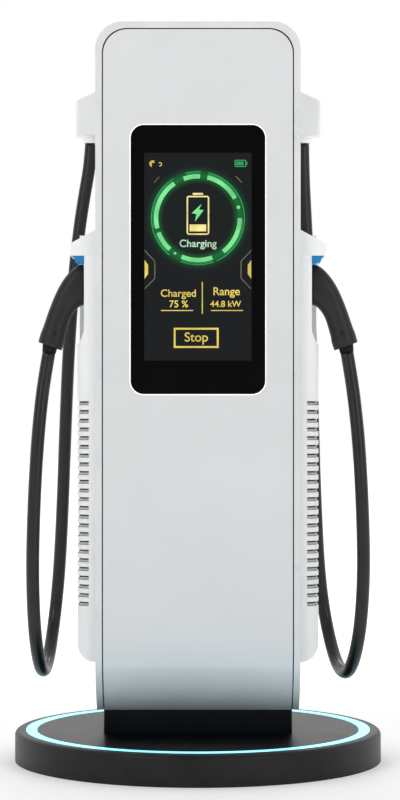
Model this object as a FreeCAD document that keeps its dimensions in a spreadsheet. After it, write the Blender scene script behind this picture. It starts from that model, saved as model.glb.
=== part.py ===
"""Free-standing EV charging post: round lit base, slim cabinet, two corded connectors.

Millimetres, +Z up, front towards -Y, origin at the middle of the base's underside.
"""
import FreeCAD, Part

import math
import os
import re

import Sketcher

# Driving dimensions: name, value in mm (or a plain count or degrees), what it is.
DIMENSIONS = {
    # round base
    "base_radius": 465, "base_height": 77, "plate_thick": 12, "plate_gap": 1,
    "skirt_wall": 22, "rim_round": 12, "lens_inner": 411, "lens_outer": 437,
    "lens_thick": 9, "lens_proud": 0.4, "cover_thick": 6, "seam": 0.6,
    "channel_depth": 16, "channel_wall": 2,
    "rib_thick": 5, "rib_inner": 300, "rib_count": 12, "rib_margin": 8, "over": 1,
    # pedestal between base and cabinet
    "pedestal_half": 236.4, "pedestal_front": -96, "pedestal_back": 150,
    "pedestal_wall": 6, "pedestal_round": 8, "cabinet_bottom": 137,
    "block_side": 34, "bolt_radius": 6, "bolt_head": 9.5, "bolt_head_height": 8,
    "bolt_reach": 36, "bolt_hole_reach": 40, "bolt_fit": 0.1, "hole_clearance": 0.5,
    "duct_radius": 55, "duct_place": 25,
    "anchor_space_wide": 360, "anchor_space_deep": 130, "anchor_hole": 9,
    # cabinet
    "front_face": -215, "cabinet_back": 235, "cabinet_top": 1844,
    "trim_half": 252.5, "trim_band": 16, "trim_depth": 60, "trim_round": 67,
    "trim_inner_step": 6, "chin_top": 320, "chin_radius": 207, "view_half": 300,
    "shell_half": 244, "shell_drop": 8, "shell_wall": 3, "shell_round": 59,
    "floor_thick": 6, "floor_front": -52,
    # front door
    "door_gap": 3, "door_skin": 4, "door_round": 60, "gasket_inset": 16,
    "gasket_width": 7, "gasket_gap": 0.3, "frame_set": 12, "frame_thick": 3,
    "rib_depth": 12, "rib_width": 24, "rib_round": 12, "door_seam": 1,
    "hinge_radius": 1, "hinge_leaf": 1, "hinge_length": 40, "hinge_seat_length": 20,
    "hinge_space": 0.5, "hinge_margin": 60, "hinge_reach": 15,
    # display
    "glass_half": 165, "glass_low": 928, "glass_high": 1589, "glass_round": 32,
    "glass_thick": 5, "glass_proud": 1.5, "screen_half": 132, "screen_low": 1010,
    "screen_high": 1521, "screen_thick": 26, "screen_border": 8, "screen_end": 10,
    "bracket_thick": 3, "bracket_foot": 14, "bracket_end": 60, "reader_size": 90,
    "reader_thick": 10, "reader_end": 8,
    # rear
    "rear_half": 232, "rear_low": 162, "rear_high": 1806, "rear_skin": 2,
    "rear_depth": 16, "rear_gap": 2.4, "rear_frame_width": 26, "rear_frame_thick": 8,
    "louvre_count": 10, "louvre_pitch": 26, "louvre_height": 9, "louvre_half": 78,
    "louvre_place": 98, "intake_low": 330, "exhaust_low": 1480, "blade_reach": 7,
    "blade_drop": 6, "blade_thick": 2, "blade_rise": 5, "seal_inset": 6, "seal_width": 8,
    "seal_gap": 0.3, "filter_border": 12, "filter_drop": 14, "filter_gap": 3,
    "knuckle_radius": 6, "knuckle_length": 28, "pin_radius": 3, "pin_clearance": 0.05,
    "knuckle_space": 0.5, "knuckle_sink": 3, "leg_width": 8, "leaf_thick": 6,
    "hinge_low": 120, "hinge_high": 180,
    "lock_height": 980, "lock_place": -196, "spindle_radius": 8, "spindle_way": 8.4,
    "spindle_length": 24, "boss_radius": 12, "boss_length": 10, "boss_gap": 0.4,
    "lever_width": 18, "lever_thick": 9, "lever_length": 84, "lever_out": 7,
    "cam_thick": 5, "cam_length": 30, "escutcheon_width": 32, "escutcheon_thick": 4,
    "escutcheon_half": 95,
    # fans
    "fan_side": 176, "fan_depth": 38, "fan_bore": 83, "fan_tip_gap": 3, "fan_hub": 30,
    "fan_place": 96, "fan_height": 1610, "fan_blades": 7, "fan_front": 178,
    "fan_arm": 8, "fan_arm_thick": 4, "fan_arm_sink": 3, "fan_motor": 28,
    "fan_motor_length": 5, "rotor_depth": 28, "rotor_gap": 1.3, "blade_chord": 30,
    "blade_plate": 3, "blade_twist": 32, "blade_root": 6,
    "shelf_thick": 4, "shelf_gap": 10,
    # side wings
    "wing_half": 300, "wing_front": -185, "wing_back": 112, "wing_low": 265,
    "wing_high": 1330, "wing_round": 42, "wing_foot_round": 46, "wing_wall": 3.5,
    "wing_seam": 1, "wing_step": 14, "slot_count": 24, "slot_pitch": 21.6, "slot_height": 10,
    "slot_top": 905, "slot_inner": 270, "slot_back": -64, "wing_sink": 20,
    # holsters
    "hood_half": 316, "hood_low": 1270, "hood_high": 1300, "pocket_wall": 282,
    "pocket_low": 1084, "pocket_lip": 1049, "pocket_back": -35, "pocket_step": 7,
    "pocket_rise": 16, "pocket_fall": 20, "liner": 3, "liner_drop": 6, "lip_thick": 4,
    "lip_fit": 1.5, "hood_round": 9, "hood_crown": 4, "tray_wall": 4, "tray_depth": 3,
    "light_reach": 309, "light_high": 1272.2, "light_low": 1253, "light_slant": 6,
    "light_gap": 0.4, "light_end": 6, "seat_rim": 5, "seat_depth": 8,
    "plug_height": 1201, "plug_place": -115,
    # cable outlets
    "outlet_half": 320, "outlet_low": 1606, "outlet_high": 1728, "outlet_slope": 34,
    "outlet_front": 146, "outlet_back": 232, "outlet_wall": 3, "outlet_seam": 0.5,
    "outlet_round": 10, "cable_way_rise": 55, "cable_way_radius": 24,
    "gland_radius": 25, "gland_height": 18, "gland_nut": 8, "gland_taper": 5,
    "gland_step": 1, "gland_fit": 2.6, "gland_way": 3, "gland_stem": 14,
    "gland_left": 281, "gland_right": 276, "gland_place": 195,
    # cables and connectors
    "cable_diameter": 33, "nose_length": 31, "nose_wide": 56, "nose_tall": 88,
    "nose_round": 24, "nose_gap": 2, "nose_wall": 5, "nose_recess": 19,
    "pin_sink": 6, "pin_length": 13, "boot_length": 22, "boot_swell": 6.5, "boot_end": 1.5,
    # inside
    "rack_half": 222, "rack_low": 250, "module_count": 5, "module_height": 86,
    "module_gap": 14, "module_front": -130, "module_back": 140, "plate_low": 900,
    "plate_high": 1520, "plate_place": 60, "equipment_half": 205, "plate_sheet": 3,
    "rail_width": 14, "rail_depth": 20, "rail_foot": 20, "grip_place": 150,
    "grip_length": 80, "grip_reach": 14, "grip_height": 10, "rest_depth": 20,
    "rest_end": 40, "contactor_first": -170, "contactor_pitch": 92, "contactor_rise": 60,
    "contactor_wide": 70, "contactor_deep": 74, "contactor_tall": 96,
    "breaker_side": 90, "breaker_wide": 90, "breaker_deep": 70, "breaker_tall": 130,
    "breaker_rise": 220, "toggle_slot_side": 121, "toggle_slot_wide": 28,
    "toggle_slot_deep": 21, "toggle_slot_tall": 46, "toggle_slot_rise": 262,
    "toggle_gap": 1, "toggle_hub": 8, "toggle_depth": 58, "toggle_rise": 285,
    "lever_side": 129, "lever_wide": 12, "lever_deep": 26, "lever_tall": 8,
    "lever_front": 88, "control_side": -180, "control_wide": 230, "control_deep": 55,
    "control_tall": 150, "control_rise": 400, "arrester_pitch": 20, "arrester_wide": 17.5,
    "arrester_deep": 62, "arrester_tall": 90, "arrester_rise": 230, "terminal_side": -90,
    "terminal_wide": 150, "terminal_deep": 48, "terminal_tall": 60, "terminal_rise": 240,
}

doc = FreeCAD.newDocument("charging_post")
dims = doc.addObject("Spreadsheet::Sheet", "dims")
for row, (alias, size) in enumerate(DIMENSIONS.items(), start=1):
    dims.set(f"A{row}", alias)
    dims.set(f"B{row}", str(size))
    dims.setAlias(f"B{row}", alias)
doc.recompute()

SIDES = {"left": -1, "right": 1}
parts = {}


# ---------------------------------------------------------------- helpers
def bound(text):
    """An expression with every dimension's name pointed at the sheet."""
    def point(word):
        return "dims." + word.group() if word.group() in DIMENSIONS else word.group()
    return re.sub(r"[a-z_]+", point, str(text))


def number(text):
    """The value of an expression, in mm."""
    return float(dims.evalExpression(bound(text)))


def place(obj, x, y, z):
    for axis, text in zip("xyz", (x, y, z)):
        obj.setExpression(f"Placement.Base.{axis}", bound(text))
    return obj


def block(name, x, y, z, size_x, size_y, size_z):
    """A box from its low corner and its sizes, all expressions."""
    box = doc.addObject("Part::Box", name)
    for prop, text in (("Length", size_x), ("Width", size_y), ("Height", size_z)):
        box.setExpression(prop, bound(text))
    return place(box, x, y, z)


TURNS = {"X": FreeCAD.Rotation(FreeCAD.Vector(0, 1, 0), 90),
         "Y": FreeCAD.Rotation(FreeCAD.Vector(1, 0, 0), -90),
         "Z": FreeCAD.Rotation()}


def rod(name, axis, x, y, z, radius, length):
    """A cylinder that starts at (x, y, z) and runs along +axis."""
    cylinder = doc.addObject("Part::Cylinder", name)
    cylinder.Placement = FreeCAD.Placement(FreeCAD.Vector(), TURNS[axis])
    cylinder.setExpression("Radius", bound(radius))
    cylinder.setExpression("Height", bound(length))
    return place(cylinder, x, y, z)


def fuse(name, members):
    joined = doc.addObject("Part::MultiFuse", name)
    joined.Shapes = members
    return joined


def cut(name, base, tools):
    """The base with every tool taken away."""
    tool = tools[0] if len(tools) == 1 else fuse(name + "_tools", tools)
    left = doc.addObject("Part::Cut", name)
    left.Base = base
    left.Tool = tool
    return left


def common(name, first, second):
    shared = doc.addObject("Part::MultiCommon", name)
    shared.Shapes = [first, second]
    return shared


def group(name, members):
    together = doc.addObject("Part::Compound", name)
    together.Links = members
    return together


def mirrored(name, source):
    """The same piece on the other side of the X = 0 plane."""
    twin = doc.addObject("Part::Mirroring", name)
    twin.Source = source
    twin.Normal = (1, 0, 0)
    return twin


def node(name, obj):
    """Name an object as one of the post's pieces."""
    obj.Label = name
    parts[name] = obj
    return obj


def outline(body, plane, corners, arcs, start):
    """A closed sketch on one of the body's planes; each corner is bound to expressions."""
    sketch = body.newObject("Sketcher::SketchObject", body.Name + "_outline")
    planes = {feature.Role: feature for feature in body.Origin.OriginFeatures}
    sketch.AttachmentSupport = (planes[plane + "_Plane"], "")
    sketch.MapMode = "FlatFace"
    sketch.setExpression("AttachmentOffset.Base.z", bound(start))
    points = [FreeCAD.Vector(number(u), number(v), 0) for u, v in corners]
    count = len(points)
    for index, first in enumerate(points):
        second = points[(index + 1) % count]
        if index in arcs:
            sketch.addGeometry(arc_between(first, second, arcs[index]), False)
        else:
            sketch.addGeometry(Part.LineSegment(first, second), False)
    # an arc that turns clockwise is stored with its ends swapped
    ends = [(2, 1) if index in arcs and arcs[index][1] < 0 else (1, 2) for index in range(count)]
    for index in range(count):
        after = (index + 1) % count
        sketch.addConstraint(Sketcher.Constraint("Coincident", index, ends[index][1],
                                                 after, ends[after][0]))
    for index, pair in enumerate(corners):
        for kind, text, value in zip("XY", pair, (points[index].x, points[index].y)):
            if abs(value) < 1e-9:
                lock = Sketcher.Constraint("PointOnObject", index, ends[index][0],
                                           -2 if kind == "X" else -1)
                sketch.addConstraint(lock)
                continue
            spot = sketch.addConstraint(Sketcher.Constraint("Distance" + kind, -1, 1, index,
                                                            ends[index][0], value))
            sketch.renameConstraint(spot, f"{kind.lower()}_{index}")
            sketch.setExpression(f"Constraints.{kind.lower()}_{index}", bound(text))
    for index, (radius, _) in arcs.items():
        spot = sketch.addConstraint(Sketcher.Constraint("Radius", index, number(radius)))
        sketch.renameConstraint(spot, f"radius_{index}")
        sketch.setExpression(f"Constraints.radius_{index}", bound(radius))
    return sketch


def arc_between(first, second, arc):
    """The short arc of a radius between two points; +1 bulges to the right of the way."""
    radius, side = number(arc[0]), arc[1]
    middle = (first + second) * 0.5
    way = (second - first).normalize()
    left = FreeCAD.Vector(-way.y, way.x, 0)
    reach = math.sqrt(radius ** 2 - (second - first).Length ** 2 / 4)
    centre = middle + left * (reach * side)
    bulge = centre - left * (radius * side)
    return Part.Arc(first, bulge, second)


def pad(name, plane, corners, start, length, arcs=None):
    """A prism on an outline: from start along the plane's normal, for length."""
    body = doc.addObject("PartDesign::Body", name)
    sketch = outline(body, plane, corners, arcs or {}, start)
    feature = body.newObject("PartDesign::Pad", name + "_pad")
    feature.Profile = sketch
    feature.setExpression("Length", bound(length))
    doc.recompute()
    return body


def turned(name, corners):
    """A full turn of an outline in the XZ plane about Z."""
    body = doc.addObject("PartDesign::Body", name)
    sketch = outline(body, "XZ", corners, {}, "0")
    feature = body.newObject("PartDesign::Revolution", name + "_turn")
    feature.Profile = sketch
    feature.ReferenceAxis = (sketch, ["V_Axis"])
    feature.Angle = 360
    doc.recompute()
    return body


def rounded(body, radius, wanted):
    """Round the body's edges that the test picks."""
    base = body.Tip
    names = [f"Edge{index}" for index, edge in enumerate(base.Shape.Edges, start=1)
             if wanted(edge)]
    fillet = body.newObject("PartDesign::Fillet", body.Name + "_round" + str(len(body.Group)))
    fillet.Base = (base, names)
    fillet.setExpression("Radius", bound(radius))
    doc.recompute()
    return body


def along(edge, axis):
    """True when a straight edge runs along the axis."""
    if len(edge.Vertexes) != 2:
        return False
    way = edge.Vertexes[1].Point - edge.Vertexes[0].Point
    return abs(abs(way.normalize().dot(axis)) - 1) < 1e-6


AXIS_X = FreeCAD.Vector(1, 0, 0)
AXIS_Y = FreeCAD.Vector(0, 1, 0)
AXIS_Z = FreeCAD.Vector(0, 0, 1)


def arch_block(name, half, top, corner, front="front_face - 20 * over", depth="500 * over"):
    """An upright block seen from the front, with its two top corners rounded."""
    corners = [(f"-({half})", "cabinet_bottom"), (half, "cabinet_bottom"),
               (half, top), (f"-({half})", top)]
    body = pad(name, "XZ", corners, f"-({front}) - ({depth})", depth)
    level = number(top)
    return rounded(body, corner, lambda edge: along(edge, AXIS_Y)
                   and abs(edge.CenterOfMass.z - level) < 0.01)


def front_slice(name, near, far, foot=None):
    """The side view of a layer of the front, from near to far mm behind its face."""
    end_angle = math.asin((number("chin_top") - number("cabinet_bottom")) / number("chin_radius"))
    rise = math.degrees(end_angle)
    centre = "(front_face + chin_radius)"
    outer = f"(chin_radius - ({near}))"
    inner = f"(chin_radius - ({far}))"
    near_end = f"{centre} - sqrt({outer}^2 - (chin_top - cabinet_bottom)^2)"
    if foot is None:
        bottom = [(near_end, "cabinet_bottom"),
                  (f"{centre} - sqrt({inner}^2 - (chin_top - cabinet_bottom)^2)", "cabinet_bottom")]
        corners = [(f"front_face + ({near})", "chin_top")] + bottom
        corners += [(f"front_face + ({far})", "chin_top"),
                    (f"front_face + ({far})", "cabinet_top"),
                    (f"front_face + ({near})", "cabinet_top")]
        arcs = {0: (outer, 1), 2: (inner, -1)}
    else:
        heel = f"{centre} - {inner} * cos({rise})"
        lift = f"chin_top - {inner} * sin({rise})"
        corners = [(f"front_face + ({near})", "chin_top"), (near_end, "cabinet_bottom"),
                   (heel, "cabinet_bottom"), (heel, lift),
                   (f"front_face + ({far})", "chin_top"),
                   (f"front_face + ({far})", "cabinet_top"),
                   (f"front_face + ({near})", "cabinet_top")]
        arcs = {0: (outer, 1), 3: (inner, -1)}
    return pad(name, "YZ", corners, "-view_half", "2 * view_half", arcs)


def arch(name, near, far, outside, inside=None, foot=None):
    """A curved layer of the front: an arch of (half, top, corner), hollow or whole."""
    whole = common(name + "_whole", arch_block(name + "_outside", *outside),
                   front_slice(name + "_slice", near, far, foot))
    if inside is None:
        return whole
    return cut(name, whole, [arch_block(name + "_inside", *inside)])


# ---------------------------------------------------------------- round base
def make_base():
    plate = rod("plate_disc", "Z", "0", "0", "0",
                "base_radius - skirt_wall - plate_gap", "plate_thick")
    holes = [rod("plate_duct", "Z", "0", "duct_place", "-over", "duct_radius",
                 "plate_thick + 2 * over")]
    for wide in (-1, 1):
        for deep in (-1, 1):
            holes.append(rod(f"anchor_{wide}_{deep}", "Z", f"{wide} * anchor_space_wide / 2",
                             f"duct_place + {deep} * anchor_space_deep / 2", "-over",
                             "anchor_hole", "plate_thick + 2 * over"))
    node("base_plate", cut("base_plate_cut", plate, holes))

    skirt = turned("skirt", [("base_radius - skirt_wall", "0"), ("base_radius", "0"),
                             ("base_radius", "base_height"),
                             ("lens_outer + seam", "base_height"),
                             ("lens_outer + seam", "base_height - lens_thick - channel_depth"),
                             ("base_radius - skirt_wall",
                              "base_height - lens_thick - channel_depth")])
    rim = number("base_radius")
    rounded(skirt, "rim_round", lambda edge: abs(edge.BoundBox.XMax - rim) < 0.01
            and edge.BoundBox.ZLength < 0.01 and edge.BoundBox.ZMin > 1)
    node("base_skirt", skirt)

    floor = "base_height - lens_thick - channel_depth"
    channel = [("lens_inner - channel_wall", floor), ("lens_outer", floor),
               ("lens_outer", "base_height - lens_thick"),
               ("lens_outer - channel_wall", "base_height - lens_thick"),
               ("lens_outer - channel_wall", floor + " + channel_wall"),
               ("lens_inner", floor + " + channel_wall"),
               ("lens_inner", "base_height - lens_thick"),
               ("lens_inner - channel_wall", "base_height - lens_thick")]
    node("ring_light_channel", turned("channel", channel))
    lens = [("lens_inner", "base_height - lens_thick"), ("lens_outer", "base_height - lens_thick"),
            ("lens_outer", "base_height + lens_proud"), ("lens_inner", "base_height + lens_proud")]
    node("ring_light_lens", turned("lens", lens))

    cover = rod("cover_disc", "Z", "0", "0", "base_height - cover_thick",
                "lens_inner - channel_wall - seam", "cover_thick")
    opening = block("cover_opening", "-pedestal_half - seam", "pedestal_front - seam", "0",
                    "2 * (pedestal_half + seam)",
                    "pedestal_back - pedestal_front + 2 * seam", "cabinet_bottom")
    node("base_top_cover", cut("cover_cut", cover, [opening]))
    ribs = []
    count = int(number("rib_count"))
    for turn in range(count):
        rib = block(f"rib_{turn}", "0", "0", "plate_thick",
                    "lens_inner - channel_wall - rib_margin - rib_inner", "rib_thick",
                    "base_height - cover_thick - plate_thick")
        degrees = 360 / count * (turn + 0.5)
        angle = math.radians(degrees)
        rib.Placement = FreeCAD.Placement(FreeCAD.Vector(), FreeCAD.Rotation(AXIS_Z, degrees))
        place(rib, f"rib_inner * {math.cos(angle):.6f}", f"rib_inner * {math.sin(angle):.6f}",
              "plate_thick")
        ribs.append(rib)
    node("base_ribs", group("rib_group", ribs))


def make_pedestal():
    corners = [("-pedestal_half", "pedestal_front"), ("pedestal_half", "pedestal_front"),
               ("pedestal_half", "pedestal_back"), ("-pedestal_half", "pedestal_back")]
    outer = pad("pedestal_outer", "XY", corners, "plate_thick", "cabinet_bottom - plate_thick")
    rounded(outer, "pedestal_round", lambda edge: along(edge, AXIS_Z))
    hollow = block("pedestal_hollow", "-pedestal_half + pedestal_wall",
                   "pedestal_front + pedestal_wall", "plate_thick - over",
                   "2 * (pedestal_half - pedestal_wall)",
                   "pedestal_back - pedestal_front - 2 * pedestal_wall",
                   "cabinet_bottom - plate_thick - pedestal_wall + over")
    duct = rod("pedestal_duct", "Z", "0", "duct_place", "cabinet_bottom - pedestal_wall - over",
               "duct_radius", "pedestal_wall + 2 * over")
    box = cut("pedestal_box", outer, [hollow, duct])
    blocks = []
    holes = []
    bolts = []
    for side in (-1, 1):
        for back in (0, 1):
            x_mid = f"{side} * (pedestal_half - pedestal_wall - block_side / 2 - over)"
            y_mid = ("pedestal_back - pedestal_wall - block_side / 2 - over" if back
                     else "floor_front + block_side / 2 + 2 * over")
            tag = f"{'left' if side < 0 else 'right'}_{'back' if back else 'front'}"
            blocks.append(block("post_" + tag, f"{x_mid} - block_side / 2",
                                f"{y_mid} - block_side / 2", "plate_thick", "block_side",
                                "block_side", "cabinet_bottom - plate_thick - pedestal_wall"))
            holes.append(rod("post_hole_" + tag, "Z", x_mid, y_mid,
                             "cabinet_bottom - bolt_hole_reach", "bolt_radius",
                             "bolt_hole_reach + 20 * over"))
            shank = rod("bolt_shank_" + tag, "Z", x_mid, y_mid, "cabinet_bottom - bolt_reach",
                        "bolt_radius - bolt_fit", "bolt_reach + floor_thick")
            head = rod("bolt_head_" + tag, "Z", x_mid, y_mid, "cabinet_bottom + floor_thick",
                       "bolt_head", "bolt_head_height")
            bolts.append(fuse("bolt_" + tag, [shank, head]))
    node("pedestal", cut("pedestal_drilled", fuse("pedestal_posts", [box] + blocks), holes))
    node("pedestal_bolts", group("bolt_group", bolts))

    floor = block("floor_sheet", "-shell_half + shell_wall", "floor_front", "cabinet_bottom",
                  "2 * (shell_half - shell_wall)", "cabinet_back - floor_front - over",
                  "floor_thick")
    duct = rod("floor_duct", "Z", "0", "duct_place", "cabinet_bottom - over", "duct_radius",
               "floor_thick + 2 * over")
    clear = []
    for hole in holes:
        wide = rod(hole.Name + "_clear", "Z", "0", "0", "0", "bolt_radius + hole_clearance",
                   "2 * bolt_hole_reach")
        for axis in "xy":
            wide.setExpression(f"Placement.Base.{axis}", f"{hole.Name}.Placement.Base.{axis}")
        wide.setExpression("Placement.Base.z", bound("cabinet_bottom - bolt_hole_reach"))
        clear.append(wide)
    node("cabinet_floor", cut("floor_cut", floor, [duct] + clear))


# ---------------------------------------------------------------- cabinet
def make_cabinet():
    trim_outside = ("trim_half", "cabinet_top", "trim_round")
    trim_inside = ("trim_half - trim_band", "cabinet_top - trim_band",
                   "trim_round - trim_inner_step")
    node("front_trim", arch("trim", "0", "trim_depth", trim_outside, trim_inside, foot=True))

    inner = "(chin_radius - trim_depth)"
    rise = math.degrees(math.asin((number("chin_top") - number("cabinet_bottom"))
                                  / number("chin_radius")))
    heel = f"(front_face + chin_radius) - {inner} * cos({rise})"
    lift = f"chin_top - {inner} * sin({rise})"
    side = pad("shell_side", "YZ",
               [("front_face + trim_depth", "chin_top"), (heel, lift),
                (heel, "cabinet_bottom"), ("cabinet_back", "cabinet_bottom"),
                ("cabinet_back", "cabinet_top"), ("front_face + trim_depth", "cabinet_top")],
               "-view_half", "2 * view_half", {0: (inner, 1)})
    top = "cabinet_top - shell_drop"
    depth = "600 * over"
    outer = arch_block("shell_outer", "shell_half", top, "shell_round", depth=depth)
    hollow = arch_block("shell_hollow", "shell_half - shell_wall", top + " - shell_wall",
                        "shell_round - shell_wall", depth=depth)
    tools = [hollow]
    for name, sign in SIDES.items():
        start = "-shell_half - over" if sign < 0 else "shell_half - shell_wall - over"
        tools.append(rod("cable_way_" + name, "X", start, "gland_place",
                         "outlet_low + cable_way_rise", "cable_way_radius",
                         "shell_wall + 2 * over"))
    node("cabinet_shell", cut("shell", common("shell_solid", outer, side), tools))

    width = "rear_frame_width"
    ring = arch_block("rear_ring", "shell_half - shell_wall", top + " - shell_wall",
                      "shell_round - shell_wall",
                      front="cabinet_back - rear_frame_thick", depth="rear_frame_thick")
    window = block("rear_window", "-shell_half + shell_wall + " + width,
                   "cabinet_back - 60 * over", "cabinet_bottom + floor_thick + " + width,
                   f"2 * (shell_half - shell_wall - {width})", "120 * over",
                   f"{top} - cabinet_bottom - floor_thick - 2 * {width} - shell_wall")
    foot = block("rear_foot", "-view_half", "cabinet_back - 60 * over", "0", "2 * view_half",
                 "120 * over", "cabinet_bottom + floor_thick")
    node("rear_frame", cut("rear_frame_cut", ring, [window, foot]))


def make_front_door():
    half = "(trim_half - trim_band - door_gap)"
    top = "(cabinet_top - trim_band - door_gap)"
    skin = arch("skin", "0", "door_skin", (half, top, "door_round"))
    opening = pad("glass_opening", "XZ",
                  [("-glass_half - seam", "glass_low - seam"),
                   ("glass_half + seam", "glass_low - seam"),
                   ("glass_half + seam", "glass_high + seam"),
                   ("-glass_half - seam", "glass_high + seam")],
                  "-front_face - 100 * over", "200 * over")
    rounded(opening, "glass_round + seam", lambda edge: along(edge, AXIS_Y))
    node("front_door_panel", cut("skin_cut", skin, [opening]))

    near = f"{half} - gasket_inset"
    seal_top = f"{top} - gasket_inset"
    node("front_door_gasket",
         arch("front_seal", "door_skin + gasket_gap", "frame_set",
              (near, seal_top, "door_round - gasket_inset"),
              (f"{near} - gasket_width", f"{seal_top} - gasket_width",
               "door_round - gasket_inset - gasket_width")))
    node("front_door_frame",
         arch("front_frame", "frame_set", "frame_set + frame_thick",
              ("trim_half - trim_band", "cabinet_top - trim_band",
               "trim_round - trim_inner_step"),
              (f"{near} - gasket_width - 2 * door_seam",
               f"{seal_top} - gasket_width - 2 * door_seam",
               "door_round - gasket_inset - gasket_width - 2 * door_seam")))
    rib = f"{near} - gasket_width - 3 * door_seam"
    rib_top = f"{seal_top} - gasket_width - 3 * door_seam"
    node("front_door_stiffener",
         arch("stiffener", "door_skin", "door_skin + rib_depth",
              (rib, rib_top, "door_round - gasket_inset - gasket_width - 4 * door_seam"),
              (f"{rib} - rib_width", f"{rib_top} - rib_width", "rib_round")))
    make_display()


def make_front_hinges():
    """Slim hinges whose knuckles lie in the gap at the door's left edge."""
    edge = "-(trim_half - trim_band - door_gap)"
    axis_x = f"{edge} - door_gap / 2"
    axis_y = "front_face + hinge_radius"
    span = "(hinge_length + 2 * (hinge_space + hinge_seat_length))"
    seats = []
    leaves = []
    for name, height in (("low", "chin_top + hinge_margin"),
                         ("middle", "(glass_low + glass_high) / 2"),
                         ("high", f"cabinet_top - trim_round - hinge_margin - {span}")):
        for tag, rise in (("under", "0"), ("over", "hinge_seat_length + hinge_length"
                                           " + 2 * hinge_space")):
            foot = f"{height} + {rise}"
            seats.append(fuse(f"hinge_seat_{name}_{tag}",
                              [rod(f"seat_knuckle_{name}_{tag}", "Z", axis_x, axis_y, foot,
                                   "hinge_radius", "hinge_seat_length"),
                               block(f"seat_leaf_{name}_{tag}", f"{edge} - door_gap", axis_y,
                                     foot, "hinge_leaf", "frame_set - hinge_radius",
                                     "hinge_seat_length")]))
        foot = f"{height} + hinge_seat_length + hinge_space"
        leaves.append(fuse("hinge_leaf_" + name,
                           [rod("leaf_knuckle_" + name, "Z", axis_x, axis_y, foot,
                                "hinge_radius", "hinge_length"),
                            block("leaf_edge_" + name, f"{edge} - hinge_leaf", axis_y, foot,
                                  "hinge_leaf", "door_skin", "hinge_length"),
                            block("leaf_back_" + name, f"{edge} - hinge_leaf",
                                  "front_face + door_skin", foot, "hinge_reach", "hinge_leaf",
                                  "hinge_length")]))
    node("front_hinge_leaves", group("front_leaf_group", leaves))
    return seats


def make_display():
    """The glass over the whole screen, the display behind it and the card reader."""
    face = "front_face - glass_proud"
    glass = pad("glass", "XZ", [("-glass_half", "glass_low"), ("glass_half", "glass_low"),
                                ("glass_half", "glass_high"), ("-glass_half", "glass_high")],
                f"-({face}) - glass_thick", "glass_thick")
    rounded(glass, "glass_round", lambda edge: along(edge, AXIS_Y))
    node("screen_glass", glass)
    behind = f"{face} + glass_thick"
    node("display_module", block("display", "-screen_half - screen_border", behind,
                                 "screen_low - screen_end",
                                 "2 * (screen_half + screen_border)", "screen_thick",
                                 "screen_high - screen_low + 2 * screen_end"))
    deck = f"{behind} + screen_thick"
    foot = "screen_low + bracket_end"
    tall = "screen_high - screen_low - 2 * bracket_end"
    pieces = [block("bracket_plate", "-glass_half", deck, foot, "2 * glass_half",
                    "bracket_thick", tall)]
    for name, edge in (("left", "-glass_half - bracket_foot"), ("right", "glass_half")):
        pieces.append(block("bracket_" + name, edge, "front_face + door_skin", foot,
                            "bracket_foot",
                            f"{deck} + bracket_thick - front_face - door_skin", tall))
    node("display_bracket", fuse("bracket", pieces))
    node("card_reader", block("reader", "-reader_size / 2", behind,
                              "glass_low + reader_end", "reader_size", "reader_thick",
                              "screen_low - screen_end - glass_low - 2 * reader_end + 2 * over"))


# ---------------------------------------------------------------- rear door
def knuckles(name, x, y, heights, toward):
    """Fixed knuckles with pins, and the leaves that turn on them."""
    fixed = []
    swinging = []
    for index, height in enumerate(heights):
        tag = f"{name}_{index}"
        fixed.append(fuse(tag + "_fixed",
                          [rod(tag + "_seat", "Z", x, y, height, "knuckle_radius",
                               "knuckle_length"),
                           rod(tag + "_pin", "Z", x, y, height, "pin_radius",
                               "2 * knuckle_length"),
                           block(tag + "_leg", f"{x} - leg_width / 2", "cabinet_back", height,
                                 "leg_width", f"{y} - cabinet_back", "knuckle_length")]))
        foot = f"{height} + knuckle_length + knuckle_space"
        ring = fuse(tag + "_turning",
                    [rod(tag + "_barrel", "Z", x, y, foot, "knuckle_radius",
                         "knuckle_length - 2 * knuckle_space"),
                     block(tag + "_leaf", f"{x} - {toward}", f"{y} - leaf_thick / 3", foot,
                           toward, "leaf_thick", "knuckle_length - 2 * knuckle_space")])
        swinging.append(cut(tag + "_leaf_cut", ring,
                            [rod(tag + "_bore", "Z", x, y, height, "pin_radius + pin_clearance",
                                 "3 * knuckle_length")]))
    return fixed, group(name + "_swinging", swinging)


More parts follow.
